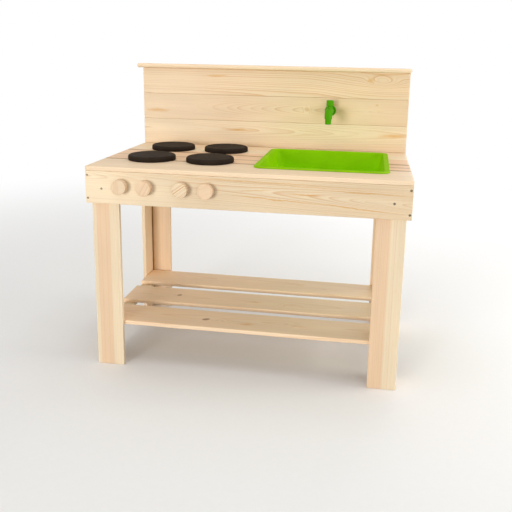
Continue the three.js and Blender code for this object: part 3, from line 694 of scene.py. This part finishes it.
BOARDS = {
    "front_apron": ("x", "-y", Grain(
        pith=13.1, depth=24.84, drift=-0.042, rise=-0.0132, bend=-6.6e-5, spacing=2.6,
        contrast=0.75, wander=0.25, tone=0.92, seed=1.3,
        marks=(("streak", 167, 8, -0.02, 60, 4.5, 0.75), ("streak", 80, -9, -0.06, 190, 2.5, 0.8),
               ("streak", 300, -22, -0.08, 170, 2.5, 0.7), ("streak", 30, 12.5, 0.07, 70, 2.5, 0.6),
               ("streak", 330, 20.5, -0.02, 190, 2.5, 0.7), ("streak", 160, 30, -0.02, 420, 2, 0.5),
               ("streak", 20, 37, -0.015, 460, 2, 0.6), ("plain", 340, 2, -0.04, 150, 17, 0.8),
               # The wide cloud at -450 pales the left end and the wide streak at 400 darkens the
               # right half: painted light and painted shade across the board.
               ("cloud", 65, 14, -0.04, 60, 7, 0.05), ("cloud", -450, 0, 0, 330, 90, 0.2),
               ("streak", 400, 0, 0, 900, 300, 0.09), ("plain", -330, 0, 0, 300, 90, 0.8)))),
    "rear_apron": ("x", "+y", Grain(
        pith=-30, depth=30, rise=0.03, seed=2.1, marks=(("knot", -210, 14, 0, 30, 20, 7),))),
    "side_apron_left": ("y", "-x", Grain(pith=20, depth=28, rise=0.06, seed=3.7, contrast=0.5)),
    "side_apron_right": ("y", "+x", Grain(
        pith=-12, depth=24, rise=-0.05, seed=4.9, contrast=0.5,
        marks=(("knot", 60, 18, 0, 26, 18, 6),))),
    "worktop_batten_left": ("y", "-z", Grain(seed=5.3, depth=60)),
    "worktop_batten_right": ("y", "-z", Grain(seed=6.1, depth=50)),
    "worktop_plank_front": ("x", "+z", Grain(
        pith=-30, depth=70, spacing=7, contrast=0.22, tone=1.04, seed=11.1, heart=200,
        heart_strength=0.35)),
    "worktop_plank_rear": ("x", "+z", Grain(
        pith=50, depth=40, rise=0.01, spacing=6, contrast=0.35, tone=1.03, seed=12.4, heart=75,
        heart_strength=0.3)),
    "worktop_plank_middle_left": ("x", "+z", worktop_middle(55, -19.5, 66, -0.7)),
    "worktop_plank_middle_right": ("x", "+z", worktop_middle(50, -47.5, 6.5, -0.65)),
    "backsplash_board_lower": ("x", "-y", Grain(
        pith=12, depth=22, rise=0.03, spacing=3.6, contrast=0.5, wander=0.4, seed=14.6, heart=300,
        heart_strength=0.1, tone=0.99,
        marks=(("streak", -114, 13.5, 0, 75, 7, 0.7), ("streak", 405, 10.5, 0.05, 70, 9, 0.6),
               ("streak", 120, 17, -0.08, 60, 3, 0.45), ("streak", 110, 4, 0.1, 60, 3, 0.35),
               # The wide streak at 450 darkens the board's right half as painted shade.
               ("streak", 450, 0, 0, 900, 300, 0.1), ("plain", 270, 14, 0, 120, 26, 0.6),
               ("plain", -330, 10, 0, 170, 40, 0.7)))),
    "backsplash_board_middle": ("x", "-y", Grain(
        pith=2, depth=27, rise=-0.06, spacing=2.6, contrast=0.65, wander=0.2, seed=15.8, heart=300,
        heart_strength=0.35, tone=0.975,
        marks=(("eye", 118, 2.5, 0, 20, 16, 7), ("streak", 118, 2.5, 0, 12, 10, 0.4),
               ("plain", -20, 36, 0, 150, 24, 0.9), ("plain", -20, -34, 0, 150, 24, 0.9),
               ("eye", 348, 23, 0, 16, 10, 4), ("streak", 348, 23, 0, 8, 4, 0.5),
               ("streak", 205, 21, 0, 26, 4, 0.6), ("streak", 205, 2, 0, 110, 60, 0.2),
               # The wide streak at 450 darkens the board's right half as painted shade.
               ("streak", -400, -14, 0, 62, 9, 0.6), ("streak", 450, 0, 0, 900, 300, 0.12),
               ("plain", -330, 4, 0, 330, 90, 1.0), ("plain", 300, 0, 0, 260, 60, 0.6)))),
    "backsplash_board_upper": ("x", "-y", Grain(
        pith=-42, depth=26, rise=0.012, spacing=5.2, contrast=0.8, wander=0.35, seed=16.5,
        heart=300, heart_strength=0.3, tone=0.975,
        marks=(("eye", 364, 8, 0, 280, 75, 20), ("eye", 364, 14, -0.04, 78, 25, 19),
               ("streak", -190, 20, 0, 55, 7, 0.6), ("streak", 326, 17, -0.3, 14, 13, 0.55),
               # The wide streak at 450 darkens the board's right half as painted shade.
               ("streak", 450, 0, 0, 900, 300, 0.12), ("plain", -330, 0, 0, 210, 70, 0.75)))),
    "backsplash_cap": ("x", "+z", Grain(
        pith=5, depth=38, seed=17.9, contrast=0.3, rise=0.03, heart=200, heart_strength=0.3)),
    # The shelf planks' tones above 1 are painted light on the shelf, which lies in the shade of the
    # worktop.
    "shelf_plank_front": ("x", "+z", Grain(
        pith=6, depth=26, rise=-0.04, spacing=5, contrast=0.4, wander=0.5, seed=19.4, heart=200,
        heart_strength=0.5, tone=1.1,
        marks=(("knot", -124, -6, 0.35, 34, 22, 5), ("eye", -80, -2, 0, 26, 16, 6),
               ("streak", 0, -18, 0.1, 34, 14, 0.6), ("eye", 155, -3, -0.25, 60, 22, 8),
               ("streak", 150, -2, -0.25, 40, 9, 0.35)))),
    "shelf_plank_middle": ("x", "+z", Grain(
        pith=-8, depth=40, rise=0.03, spacing=5, contrast=0.35, wander=0.5, seed=20.7, heart=200,
        heart_strength=0.5, tone=1.1,
        marks=(("knot", -257, 2, 0.2, 26, 18, 4), ("streak", 0, -8, 0, 34, 10, 0.35),
               ("eye", 110, -14, 0, 50, 20, 7), ("streak", 115, -14, 0, 44, 10, 0.3)))),
    "shelf_plank_rear": ("x", "+z", Grain(
        pith=14, depth=36, rise=0.03, spacing=5, contrast=0.35, wander=0.5, seed=21.6, heart=200,
        heart_strength=0.5, tone=1.16,
        marks=(("eye", 120, -8, 0, 40, 20, 6), ("streak", 121, 2, 0, 26, 9, 0.35),
               ("eye", 200, -20, 0, 36, 18, 6), ("streak", 202, -16, 0, 24, 9, 0.3)))),
}
for j, (side, sign) in enumerate(SIDES.items()):
    BOARDS[f"backsplash_post_{side}"] = ("z", "+y", Grain(
        pith=-14, depth=30, rise=0.04, contrast=0.45, seed=18.2 + sign))
    BOARDS[f"shelf_batten_{side}"] = ("y", "-z", Grain(depth=60, seed=22.5 + sign))
    for i, (row, face, pith, heart, strength, marks) in enumerate((
            ("front", "-y", (9, 45)[j], (22.6, 46)[j], 0.75, ()),
            # On the rear face boards the band's darker cloud, near the side board, is painted shade
            # in the inner corner.
            ("rear", "+y", 0, 60, 0.5, band(sign * 27, 0.0, 8, 0.9, 5, -0.7)))):
        BOARDS[f"leg_face_{row}_{side}"] = ("z", face, Grain(
            pith=pith, depth=9, spacing=4.2, contrast=0.28, heart=heart, heart_strength=strength,
            wander=0.25, tone=0.97, seed=7.0 + 1.7 * i + 0.9 * j, marks=marks))
        BOARDS[f"leg_side_{row}_{side}"] = ("z", ("-x", "+x")[j], Grain(
            pith=18, depth=34, rise=0.03, spacing=5, contrast=0.3, heart=60, heart_strength=0.4,
            wander=0.4, seed=9.0 + 1.3 * i + 0.7 * j))


def make_board(node, ease=None, holes=(), corners=None, radii=None):
    """Replaces a construction board with an eased, drilled board of its own grain.

    The board's axes are u along its grain, w out of its show face, and v = w × u across. Holes
    are given by their place in the row frame and the rows that make them.
    """
    along, face, grain = BOARDS[node]
    w = np.array(DIRECTIONS[face[1]], float) * (-1 if face[0] == "-" else 1)
    axes = three_axes(DIRECTIONS[along], w)
    length, width, thickness = np.abs(axes) @ size(node)
    centre = middle(node) + w * thickness / 2
    ease = ease or bpy.context.scene.mud_kitchen_wood.arris
    if corners is None:
        corners = rectangle(length, width)
        radii = [max(2 * MM, ease)] * 4
    else:
        corners = (np.array(corners) - centre) @ axes[:2].T
    drilled = [(*axes[:2] @ (place - centre), profile(thickness / MM)) for place, profile in holes]
    points, faces, edge = plate(corners, radii, thickness, ease, drilled, seed=grain.seed)
    material = planed_pine(node + "_pine", centre, axes, grain)
    put(node + "_board", (points @ axes + centre, faces), material, [node], edge=edge,
        grain=axes[0])


# Screws and bores, in millimetres

SCREW_HEAD = 3.25
SCREW_NECK = 2.6
SCREW_SHANK = 1.75
SCREW_ROOM = 0.3
KNOB_BORE = 2.35
TAP_BORE = 7.3


def countersunk(depth):
    """Rows of radius and height of a countersunk hole, from the show face through the board."""
    mouth, shank = SCREW_HEAD + SCREW_ROOM, SCREW_SHANK + SCREW_ROOM
    return [(mouth, 0.0), (mouth, -SCREW_ROOM), (shank, -SCREW_NECK - SCREW_ROOM), (shank, -depth)]


def bored(radius):
    """Rows of radius and height of a plain hole, for a board of any thickness."""
    return lambda depth: [(radius, 0.0), (radius, -depth)]


def cross_head(radius, sink=1.3):
    """Rings of a flat head with a cross recess, from its rim to its middle.

    Height falls by the sink times the share of two crossed bars, which is 1 within 0.14 of the
    radius of a bar's axis and 0 beyond 0.24, and fades out from 0.52 to 0.64 of the radius.
    """
    share = np.concatenate([np.linspace(1, 0.72, 3), np.linspace(0.66, 0.08, 16)])[:, None]
    a = angles(32)
    arm = np.abs(circles(share, 0.0, a)[..., :2]).min(axis=-1)
    cross = np.clip((0.24 - arm) / 0.1, 0, 1) * np.clip((0.64 - share) / 0.12, 0, 1)
    return circles(radius * share, -sink * cross, a) * MM


def make_screw(name, head_at, direction, length, nodes=(), body="bench", pan=False):
    """A wood screw: threaded shank, countersunk or pan head and cross recess.

    The thread's radius is its core plus 0.55 mm times a ridge in (angle / turn + height / pitch).
    """
    a = angles(32)
    pitch, thread = 1.9, 0.55
    head, neck, outer = (4.5, 3.0, 2.25) if pan else (SCREW_HEAD, SCREW_NECK, SCREW_SHANK)
    heights = np.arange(-length / MM, -neck - 3, pitch / 5)[:, None]
    taper = np.clip((heights + length / MM) / 5, 0.12, 1)
    wave = (a / (2 * np.pi) + heights / pitch) % 1
    ridge = np.clip(1 - np.abs(wave - 0.5) * 4, 0, 1)
    cut = thread * ridge * bpy.context.scene.mud_kitchen_fittings.thread
    shank = circles((outer - thread + cut) * taper, heights, a) * MM
    rows = [(outer, -neck - 2), (outer, -neck)]
    if pan:
        rows += [(head, -neck), (head, -1.2)] + arc(head - 1.2, -1.2, 1.2, 0, 80)
    else:
        rows += [(outer, -neck), (head - 0.1, -0.25), (head, -0.1)]
    top = cross_head(head - (1.0 if pan else 0.1))
    points, faces = stack(np.concatenate([shank, turned(rows, len(a)), top]))
    axes = three_axes(DIRECTIONS["x" if abs(direction[0]) < 0.5 else "y"], direction)
    put(name, (points @ axes + head_at, faces), bpy.data.materials["zinc_plate"], nodes, body)


def screw_from(node, direction, body="bench", pan=False):
    """Replaces a construction screw with a detailed one, head where its own is."""
    length = np.abs(direction) @ size(node)
    head = middle(node) + np.array(direction) * length / 2
    make_screw(node + "_detail", head, direction, length, [node], body, pan)


class FrontApron(bpy.types.Operator):
    """Front apron with its screws, bored for the knobs"""
    bl_idname = "mud_kitchen.front_apron"
    bl_label = "Front Apron"

    def execute(self, context):
        screws = [f"apron_screw_{side}_{row}" for side in SIDES
                  for row in ("upper", "lower", "inner")]
        holes = [(middle(node), countersunk) for node in screws]
        holes += [(middle(f"knob_{i}"), bored(KNOB_BORE)) for i in (1, 2, 3, 4)]
        make_board("front_apron", holes=holes)
        for node in screws:
            screw_from(node, FRONT)
        return {"FINISHED"}


class Frame(bpy.types.Operator):
    """Rear and side aprons and the battens under the worktop"""
    bl_idname = "mud_kitchen.frame"
    bl_label = "Frame"

    def execute(self, context):
        for node in ("rear_apron", "side_apron_left", "side_apron_right", "worktop_batten_left",
                     "worktop_batten_right"):
            make_board(node)
        return {"FINISHED"}


class Legs(bpy.types.Operator):
    """Four legs, each an angle of a face board and a side board"""
    bl_idname = "mud_kitchen.legs"
    bl_label = "Legs"

    def execute(self, context):
        for row in ("front", "rear"):
            for side, sign in SIDES.items():
                screw = f"shelf_screw_{row}_{side}"
                make_board(f"leg_face_{row}_{side}")
                make_board(f"leg_side_{row}_{side}", holes=[(middle(screw), countersunk)])
                screw_from(screw, (sign, 0.0, 0.0))
        return {"FINISHED"}


class Worktop(bpy.types.Operator):
    """Worktop planks, cut out round the sink"""
    bl_idname = "mud_kitchen.worktop"
    bl_label = "Worktop"

    def execute(self, context):
        low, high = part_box("sink_basin")
        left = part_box("worktop_plank_middle_left")[1].x
        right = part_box("worktop_plank_middle_right")[0].x
        margin = left - low.x
        outer_corner, notch_corner = 2 * MM, 26 * MM
        for row, at, notch in (("front", 3, low.y + margin), ("rear", 1, high.y - margin)):
            node = f"worktop_plank_{row}"
            a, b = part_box(node)
            inner = b.y if row == "front" else a.y
            cut = [(left, inner), (left, notch), (right, notch), (right, inner)]
            ring = [(a.x, a.y), (b.x, a.y), (b.x, b.y), (a.x, b.y)]
            ring[at:at] = cut[::-1] if row == "front" else cut
            radii = [outer_corner] * 8
            radii[at + 1:at + 3] = [notch_corner] * 2
            make_board(node, corners=[(*corner, b.z) for corner in ring], radii=radii)
        for side in SIDES:
            make_board(f"worktop_plank_middle_{side}")
        return {"FINISHED"}


class Backsplash(bpy.types.Operator):
    """Three boards, their posts with screws from behind, and the cap"""
    bl_idname = "mud_kitchen.backsplash"
    bl_label = "Backsplash"

    def execute(self, context):
        boards = [f"backsplash_board_{row}" for row in ("lower", "middle", "upper")]
        for node in boards:
            tail = (middle("tap_flange"), bored(TAP_BORE))
            make_board(node, holes=[tail] if node == boards[1] else ())
        make_board("backsplash_cap", ease=5 * MM)
        spread, apron_spread, stagger, bite = 24 * MM, 22 * MM, 10 * MM, 0.7
        heights = [middle(node)[2] + shift for node in boards for shift in (-spread, spread)]
        heights += [middle("rear_apron")[2] + shift for shift in (-apron_spread, apron_spread)]
        for side in SIDES:
            node = f"backsplash_post_{side}"
            x, y, _ = back_middle(node)
            places = [(x + (stagger if i % 2 else -stagger), y, z) for i, z in enumerate(heights)]
            make_board(node, holes=[(place, countersunk) for place in places])
            reach = size(node)[1] + bite * size(boards[0])[1]
            for i, place in enumerate(places, start=1):
                head = np.array(place) - (0, SCREW_ROOM * MM, 0)
                make_screw(f"post_screw_{side}_{i}", head, BACK, reach)
        return {"FINISHED"}


class Shelf(bpy.types.Operator):
    """Three shelf planks and the battens that tie them"""
    bl_idname = "mud_kitchen.shelf"
    bl_label = "Shelf"

    def execute(self, context):
        for row in ("front", "middle", "rear"):
            make_board(f"shelf_plank_{row}", ease=2.4 * MM)
        for side in SIDES:
            make_board(f"shelf_batten_{side}")
        return {"FINISHED"}


class HobDiscs(bpy.types.Operator):
    """Four painted discs on the worktop"""
    bl_idname = "mud_kitchen.hob_discs"
    bl_label = "Hob Discs"

    def execute(self, context):
        paint = chalk_paint("chalk_paint", context.scene.mud_kitchen_fittings.hob_colour)
        sides, round_over = 128, 6.5
        # The edge share is 1 on the underside and the sides and fades over the rounded top; the
        # paint turns it into painted shade on the sides.
        shares = [0.0] + [1.0] * 5 + np.linspace(1, 0, 9).tolist() + [0.0] * 2
        for node in [f"hob_disc_{row}_{side}" for row in ("front", "rear") for side in SIDES]:
            width, _, high = size(node) / MM
            radius = width / 2
            rows = [(radius * 0.4, 0.0), (radius - 3, 0.0)] + arc(radius - 1, 1, 1, -90, 0, 3)
            rows += arc(radius - round_over, high - round_over, round_over, 0, 90, 8)
            rows += [(radius - 10, high), (radius * 0.5, high)]
            foot = middle(node) - (0, 0, high / 2 * MM)
            put(node + "_turned", stack(turned(rows, sides), foot), paint, [node],
                edge=np.repeat(shares, sides))
        return {"FINISHED"}


class Sink(bpy.types.Operator):
    """Drop-in sink basin that hangs by its rim"""
    bl_idname = "mud_kitchen.sink"
    bl_label = "Sink"

    def execute(self, context):
        """Rings of inset, corner radius and height in millimetres run from the middle of the
        basin's underside, up its outside, over the rim and down to the middle of its floor. A
        fillet at angle a is set in by its radius times (1 − sin a) and rises by (1 − cos a)."""
        fittings = context.scene.mud_kitchen_fittings
        # The share of -0.3 paints the rim darker: painted shade against the light that falls on it.
        plastic = moulded_plastic("lime_polypropylene", fittings.sink_colour, 0.55, -0.3)
        width, depth, height = size("sink_basin") / MM
        rim, wall, draft, fillet, skin, lip, nose = 4, 12, 20, 14, 3, 3, 1.5
        floor = rim - height
        foot = wall + draft
        bends = [(1 - np.sin(a), 1 - np.cos(a)) for a in np.linspace(0, QUARTER, 8)]
        edges = [(1 - np.sin(a), 1 - np.cos(a)) for a in np.linspace(QUARTER, 0, 5)]
        levels = [(foot + fillet + 40, 24, floor)]
        levels += [(foot + fillet * inset, 24, floor + fillet * rise) for inset, rise in bends]
        levels += [(wall + 0.5, 24, -2), (wall - 1, 25, 0), (1, 26, 0)]
        levels += [(nose * inset, 27 - nose * inset, rim - nose * rise) for inset, rise in edges]
        levels += [(3, 24, rim), (wall + skin - 4, 22, rim)]
        levels += [(wall + skin - 3 + lip * np.sin(a), 21, rim - lip * (1 - np.cos(a)))
                   for a in np.linspace(0.2, QUARTER, 5)]
        levels += [(foot + skin + fillet * inset, 21, floor + skin + fillet * rise)
                   for inset, rise in bends[::-1]]
        levels += [(foot + skin + fillet + 40, 21, floor + skin)]
        rings = []
        for inset, radius, z in levels:
            ring = outline(rectangle(width - 2 * inset, depth - 2 * inset), [radius] * 4, steps=10,
                           cuts=10)
            rings.append(np.column_stack([ring, np.full(len(ring), z)]) * MM)
        # The rim's edge share, which the plastic darkens as painted shade.
        edge = np.repeat([1.0 if z > -3 else 0.0 for _, _, z in levels], len(rings[0]))
        place = middle("sink_basin") + (0, 0, (height / 2 - rim) * MM)
        mould("sink_basin", np.array(rings), place, plastic, "sink", edge)
        return {"FINISHED"}


def spout_rings(tail, sides=48):
    """Rings of a level pipe that turns down at its end, from behind the wall to its open mouth.

    Along the path the ring's middle is straight, then on a quarter circle, then straight down.
    Each ring lies square to the path: middle + r·(cos a·X + sin a·N), N in the pipe's plane. Rows
    are the middle's y and z, the path's turn and the radius, in millimetres.
    """
    reach, drop, bend = 100, 36, 12.5
    stem, barrel, nozzle = 7, 12, 9.75
    groove, pitch = 0.5, 2
    rows = [(y, 0, 0, stem - groove * (0.5 - 0.5 * math.cos(2 * math.pi * y / pitch)))
            for y in np.arange(tail, 0, -0.5)]
    rows += [(-6.6, 0, 0, stem), (-6.6, 0, 0, barrel - 0.8)]
    rows += [(y, 0, 0, barrel) for y in (-7.4, -12, -30, -50, -70, -84)]
    rows += [(-reach + bend - bend * math.sin(a), -bend + bend * math.cos(a), a, barrel)
             for a in np.linspace(0, QUARTER, 10)]
    rows += [(-reach, z, QUARTER, r) for z, r in (
        (-18.2, barrel), (-19, barrel - 0.8), (-19, nozzle), (-34, nozzle),
        (-drop + 0.8, nozzle - 0.3), (-drop, nozzle - 1.1), (-drop, 7.4), (-drop + 0.6, 6.8),
        (-drop + 14, 6.6))]
    y, z, turn, r = (np.array(column)[:, None] for column in zip(*rows))
    across, lift, _ = np.moveaxis(circles(r, 0.0, angles(sides)), -1, 0)
    return np.stack([across, y - lift * np.sin(turn), z + lift * np.cos(turn)], axis=-1) * MM


class Tap(bpy.types.Operator):
    """Tap with its flange, lobed handle and nut"""
    bl_idname = "mud_kitchen.tap"
    bl_label = "Tap"

    def execute(self, context):
        fittings = context.scene.mud_kitchen_fittings
        plastic = moulded_plastic("green_abs", fittings.tap_colour, 0.42)
        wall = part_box("backsplash_board_middle")[0].y
        x, _, z = middle("tap_flange")
        tail = (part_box("tap_body")[1].y - wall) / MM
        put("tap_spout", stack(spout_rings(tail), (x, wall, z)), plastic, ["tap_body"])

        stem = [(9, 0), (9, 16)] + arc(8, 16, 1, 0, 90, 3)
        stem += [(5, 17), (5, 28.4), (4.4, 29), (1, 29)]
        y = middle("tap_handle")[1]
        put("tap_stem", stack(turned(stem, 40), (x, y, z)), plastic)

        width, _, high = size("tap_handle") / MM
        r = width / 2
        rows = [(1, 12, 0), (5.1, 12, 0), (5.1, 0.5, 0), (5.6, 0, 0)]
        rows += [(*row, 1) for row in arc(r - 1.5, 1.5, 1.5, -90, 0, 2)] + [(r, 3, 1)]
        rows += [(r - 2 + 2 * np.cos(b), high - 2 + 2 * np.sin(b), 1)
                 for b in np.radians([0, 20, 45, 70])]
        rows += [(r - 4, high, 0.3), (r * 0.35, high, 0)]
        handle = turned(rows, 128, lobes=8, lobe_depth=0.9)
        mould("tap_handle", handle, (x, y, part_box("tap_handle")[0].z), plastic, "tap_handle")

        width, thick, _ = size("tap_flange") / MM
        r = width / 2
        rows = [(TAP_BORE, 0), (r - 0.3, 0), (r, 0.3), (r, thick - 2)]
        rows += arc(r - 2, thick - 2, 2, 10, 90, 5) + [(TAP_BORE, thick)]
        mould("tap_flange", to_front(turned(rows, 64)), back_middle("tap_flange"), plastic,
              loop=True)

        _, thick, _ = size("tap_nut") / MM
        a = angles(72)
        flat = 11.7 / np.cos((a % (np.pi / 3)) - np.pi / 6)
        nut = [circles(r, h, a) for r, h in (
            (TAP_BORE, 0.0), (flat * 0.94, 0.0), (flat, 0.7), (flat, thick - 0.7),
            (flat * 0.94, thick), (TAP_BORE, thick))]
        mould("tap_nut", to_front(np.array(nut) * MM), back_middle("tap_nut"), plastic, loop=True)
        return {"FINISHED"}


class Knobs(bpy.types.Operator):
    """Four pine knobs on their spacers and screws"""
    bl_idname = "mud_kitchen.knobs"
    bl_label = "Knobs"

    def execute(self, context):
        nylon = moulded_plastic("pale_nylon", linear("#DAD4C6"), 0.45)
        sides = 96
        edge = np.repeat([0.0] * 5 + [1.0] * 12 + [0, 0.6, 0, 0], sides)
        woods = (
            (88, Grain(depth=60, spacing=6, contrast=0.25, seed=31.0, tone=0.98, heart=200,
                       heart_strength=0.4)),
            (62, Grain(pith=16, depth=30, spacing=5, contrast=0.5, wander=0.3, seed=32.0,
                       tone=0.98, heart=200, heart_strength=0.6)),
            (37, Grain(pith=30, depth=14, spacing=5, contrast=1.1, wander=0.2, seed=33.0,
                       tone=0.98)),
            (20, Grain(depth=70, spacing=7, contrast=0.2, seed=34.0, tone=0.98, heart=200,
                       heart_strength=0.6)))
        for i, (turn, grain) in enumerate(woods, start=1):
            knob, spacer = f"knob_{i}", f"knob_spacer_{i}"
            width, thick, _ = size(knob) / MM
            r = width / 2
            rows = [(1, 12.3), (2.5, 12.3), (2.5, 0.4), (2.9, 0), (r - 3, 0)]
            rows += arc(r - 1.5, 1.5, 1.5, -90, 0) + arc(r - 1.5, thick - 1.5, 1.5, 0, 90)
            rows += [(r - 2.6, thick), (r - 3, thick - 0.5), (r - 3.4, thick), (r * 0.5, thick)]
            angle = math.radians(turn)
            axes = three_axes((math.cos(angle), 0.0, math.sin(angle)), FRONT)
            face = middle(knob) - size(knob) * (0, 0.5, 0)
            wood = planed_pine(knob + "_pine", face, axes, grain)
            put(knob + "_turned", stack(to_front(turned(rows, sides)), back_middle(knob)), wood,
                [knob], knob, edge, axes[0])

            width, thick, _ = size(spacer) / MM
            r = width / 2
            rows = [(KNOB_BORE, 0), (r - 0.5, 0), (r, 0.5), (r, thick - 0.5), (r - 0.5, thick),
                    (KNOB_BORE, thick)]
            mould(spacer, to_front(turned(rows, 48)), back_middle(spacer), nylon, loop=True)
            screw_from(f"knob_screw_{i}", BACK, knob, pan=True)
        return {"FINISHED"}


class Stage(bpy.types.Operator):
    """Pale floor, soft lamps and the camera"""
    bl_idname = "mud_kitchen.stage"
    bl_label = "Stage"

    def execute(self, context):
        scene = context.scene
        stage = scene.mud_kitchen_stage
        mesh = bpy.data.meshes.new("floor")
        mesh.from_pydata(circles(40.0, 0.0, angles(96)).tolist(), [], [list(range(96))])
        floor = bpy.data.objects.new("floor", mesh)
        scene.collection.objects.link(floor)
        mesh.materials.append(matt_floor_paint("matt_floor_paint", stage.floor_colour))

        world = bpy.data.worlds.new("studio")
        world.use_nodes = True
        tree = world.node_tree
        tree.nodes.clear()
        path = add(tree, "LightPath", out=None).outputs
        seen = path["Is Camera Ray"]
        for ray in ("Is Glossy Ray", "Is Transmission Ray"):
            seen = add(tree, "Math MAXIMUM", seen, path[ray])
        strength = add(tree, "MapRange", seen, 0.0, 1.0, stage.sky, 1.0)
        back = add(tree, "Background", (1, 1, 1, 1), strength)
        add(tree, "OutputWorld", back, out=None)
        scene.world = world

        for name, place, aim_height, width, height, power in (
                ("key_lamp", (-2.3, -6.0, 0.75), 0.5, 1.8, 1.8, stage.key_light),
                ("fill_lamp", (3.1, -6.0, 0.75), 0.5, 1.2, 1.2, stage.fill_light),
                ("side_lamp", (3.0, 0.0, 0.9), 0.5, 1.4, 1.2, stage.side_light),
                ("back_lamp", (0.8, 3.0, 0.9), 0.1, 1.6, 1.0, stage.back_light),
                ("top_lamp", (0.0, -0.2, 3.0), 0.5, 2.2, 2.2, stage.top_light)):
            lamp = bpy.data.lights.new(name, "AREA")
            lamp.shape = "RECTANGLE"
            lamp.size = width
            lamp.size_y = height
            lamp.energy = power
            made = bpy.data.objects.new(name, lamp)
            made.location = place
            towards = Vector((0, 0, aim_height)) - Vector(place)
            made.rotation_euler = towards.to_track_quat("-Z", "Y").to_euler()
            scene.collection.objects.link(made)

        # The lens is centred on this point of the picture, in pixels from its upper left
        picture, across, down = 512, 265, 200
        lens = bpy.data.cameras.new("camera")
        lens.sensor_width = 36
        lens.lens = stage.focal_length
        lens.shift_x = (picture / 2 - across) / picture
        lens.shift_y = (down - picture / 2) / picture
        camera = bpy.data.objects.new("camera", lens)
        camera.location = (0.3363, -1.9457, 0.9201)
        camera.rotation_euler = np.radians((77.197, -1.010, 9.231))
        scene.collection.objects.link(camera)
        scene.camera = camera
        scene.view_settings.view_transform = "Standard"
        return {"FINISHED"}


class SidebarPanel(bpy.types.Panel):
    """Settings and pieces of the mud kitchen"""
    bl_idname = "VIEW3D_PT_mud_kitchen"
    bl_label = "Mud Kitchen"
    bl_space_type = "VIEW_3D"
    bl_region_type = "UI"
    bl_category = "Mud Kitchen"

    def draw(self, context):
        layout = self.layout
        for name in SETTINGS:
            settings = getattr(context.scene, name)
            box = layout.box()
            for key in settings.__annotations__:
                box.prop(settings, key)
        for piece in PIECES:
            layout.operator(piece.bl_idname)


PIECES = (FrontApron, Frame, Legs, Worktop, Backsplash, Shelf, HobDiscs, Sink, Tap, Knobs, Stage)
SETTINGS = {
    "mud_kitchen_wood": WoodSettings,
    "mud_kitchen_fittings": FittingSettings,
    "mud_kitchen_stage": StageSettings,
}


def register():
    for piece in (*SETTINGS.values(), *PIECES, SidebarPanel):
        bpy.utils.register_class(piece)
    for name, settings in SETTINGS.items():
        setattr(bpy.types.Scene, name, PointerProperty(type=settings))


def unregister():
    for name in SETTINGS:
        delattr(bpy.types.Scene, name)
    for piece in reversed((*SETTINGS.values(), *PIECES, SidebarPanel)):
        bpy.utils.unregister_class(piece)


def main():
    """Registers the add-on, makes the shared node groups and builds every piece."""
    register()
    mark_group()
    growth_group(bpy.context.scene.mud_kitchen_wood)
    zinc_plate("zinc_plate")
    for piece in PIECES:
        group, name = piece.bl_idname.split(".")
        getattr(getattr(bpy.ops, group), name)()


if __name__ == "__main__":
    main()
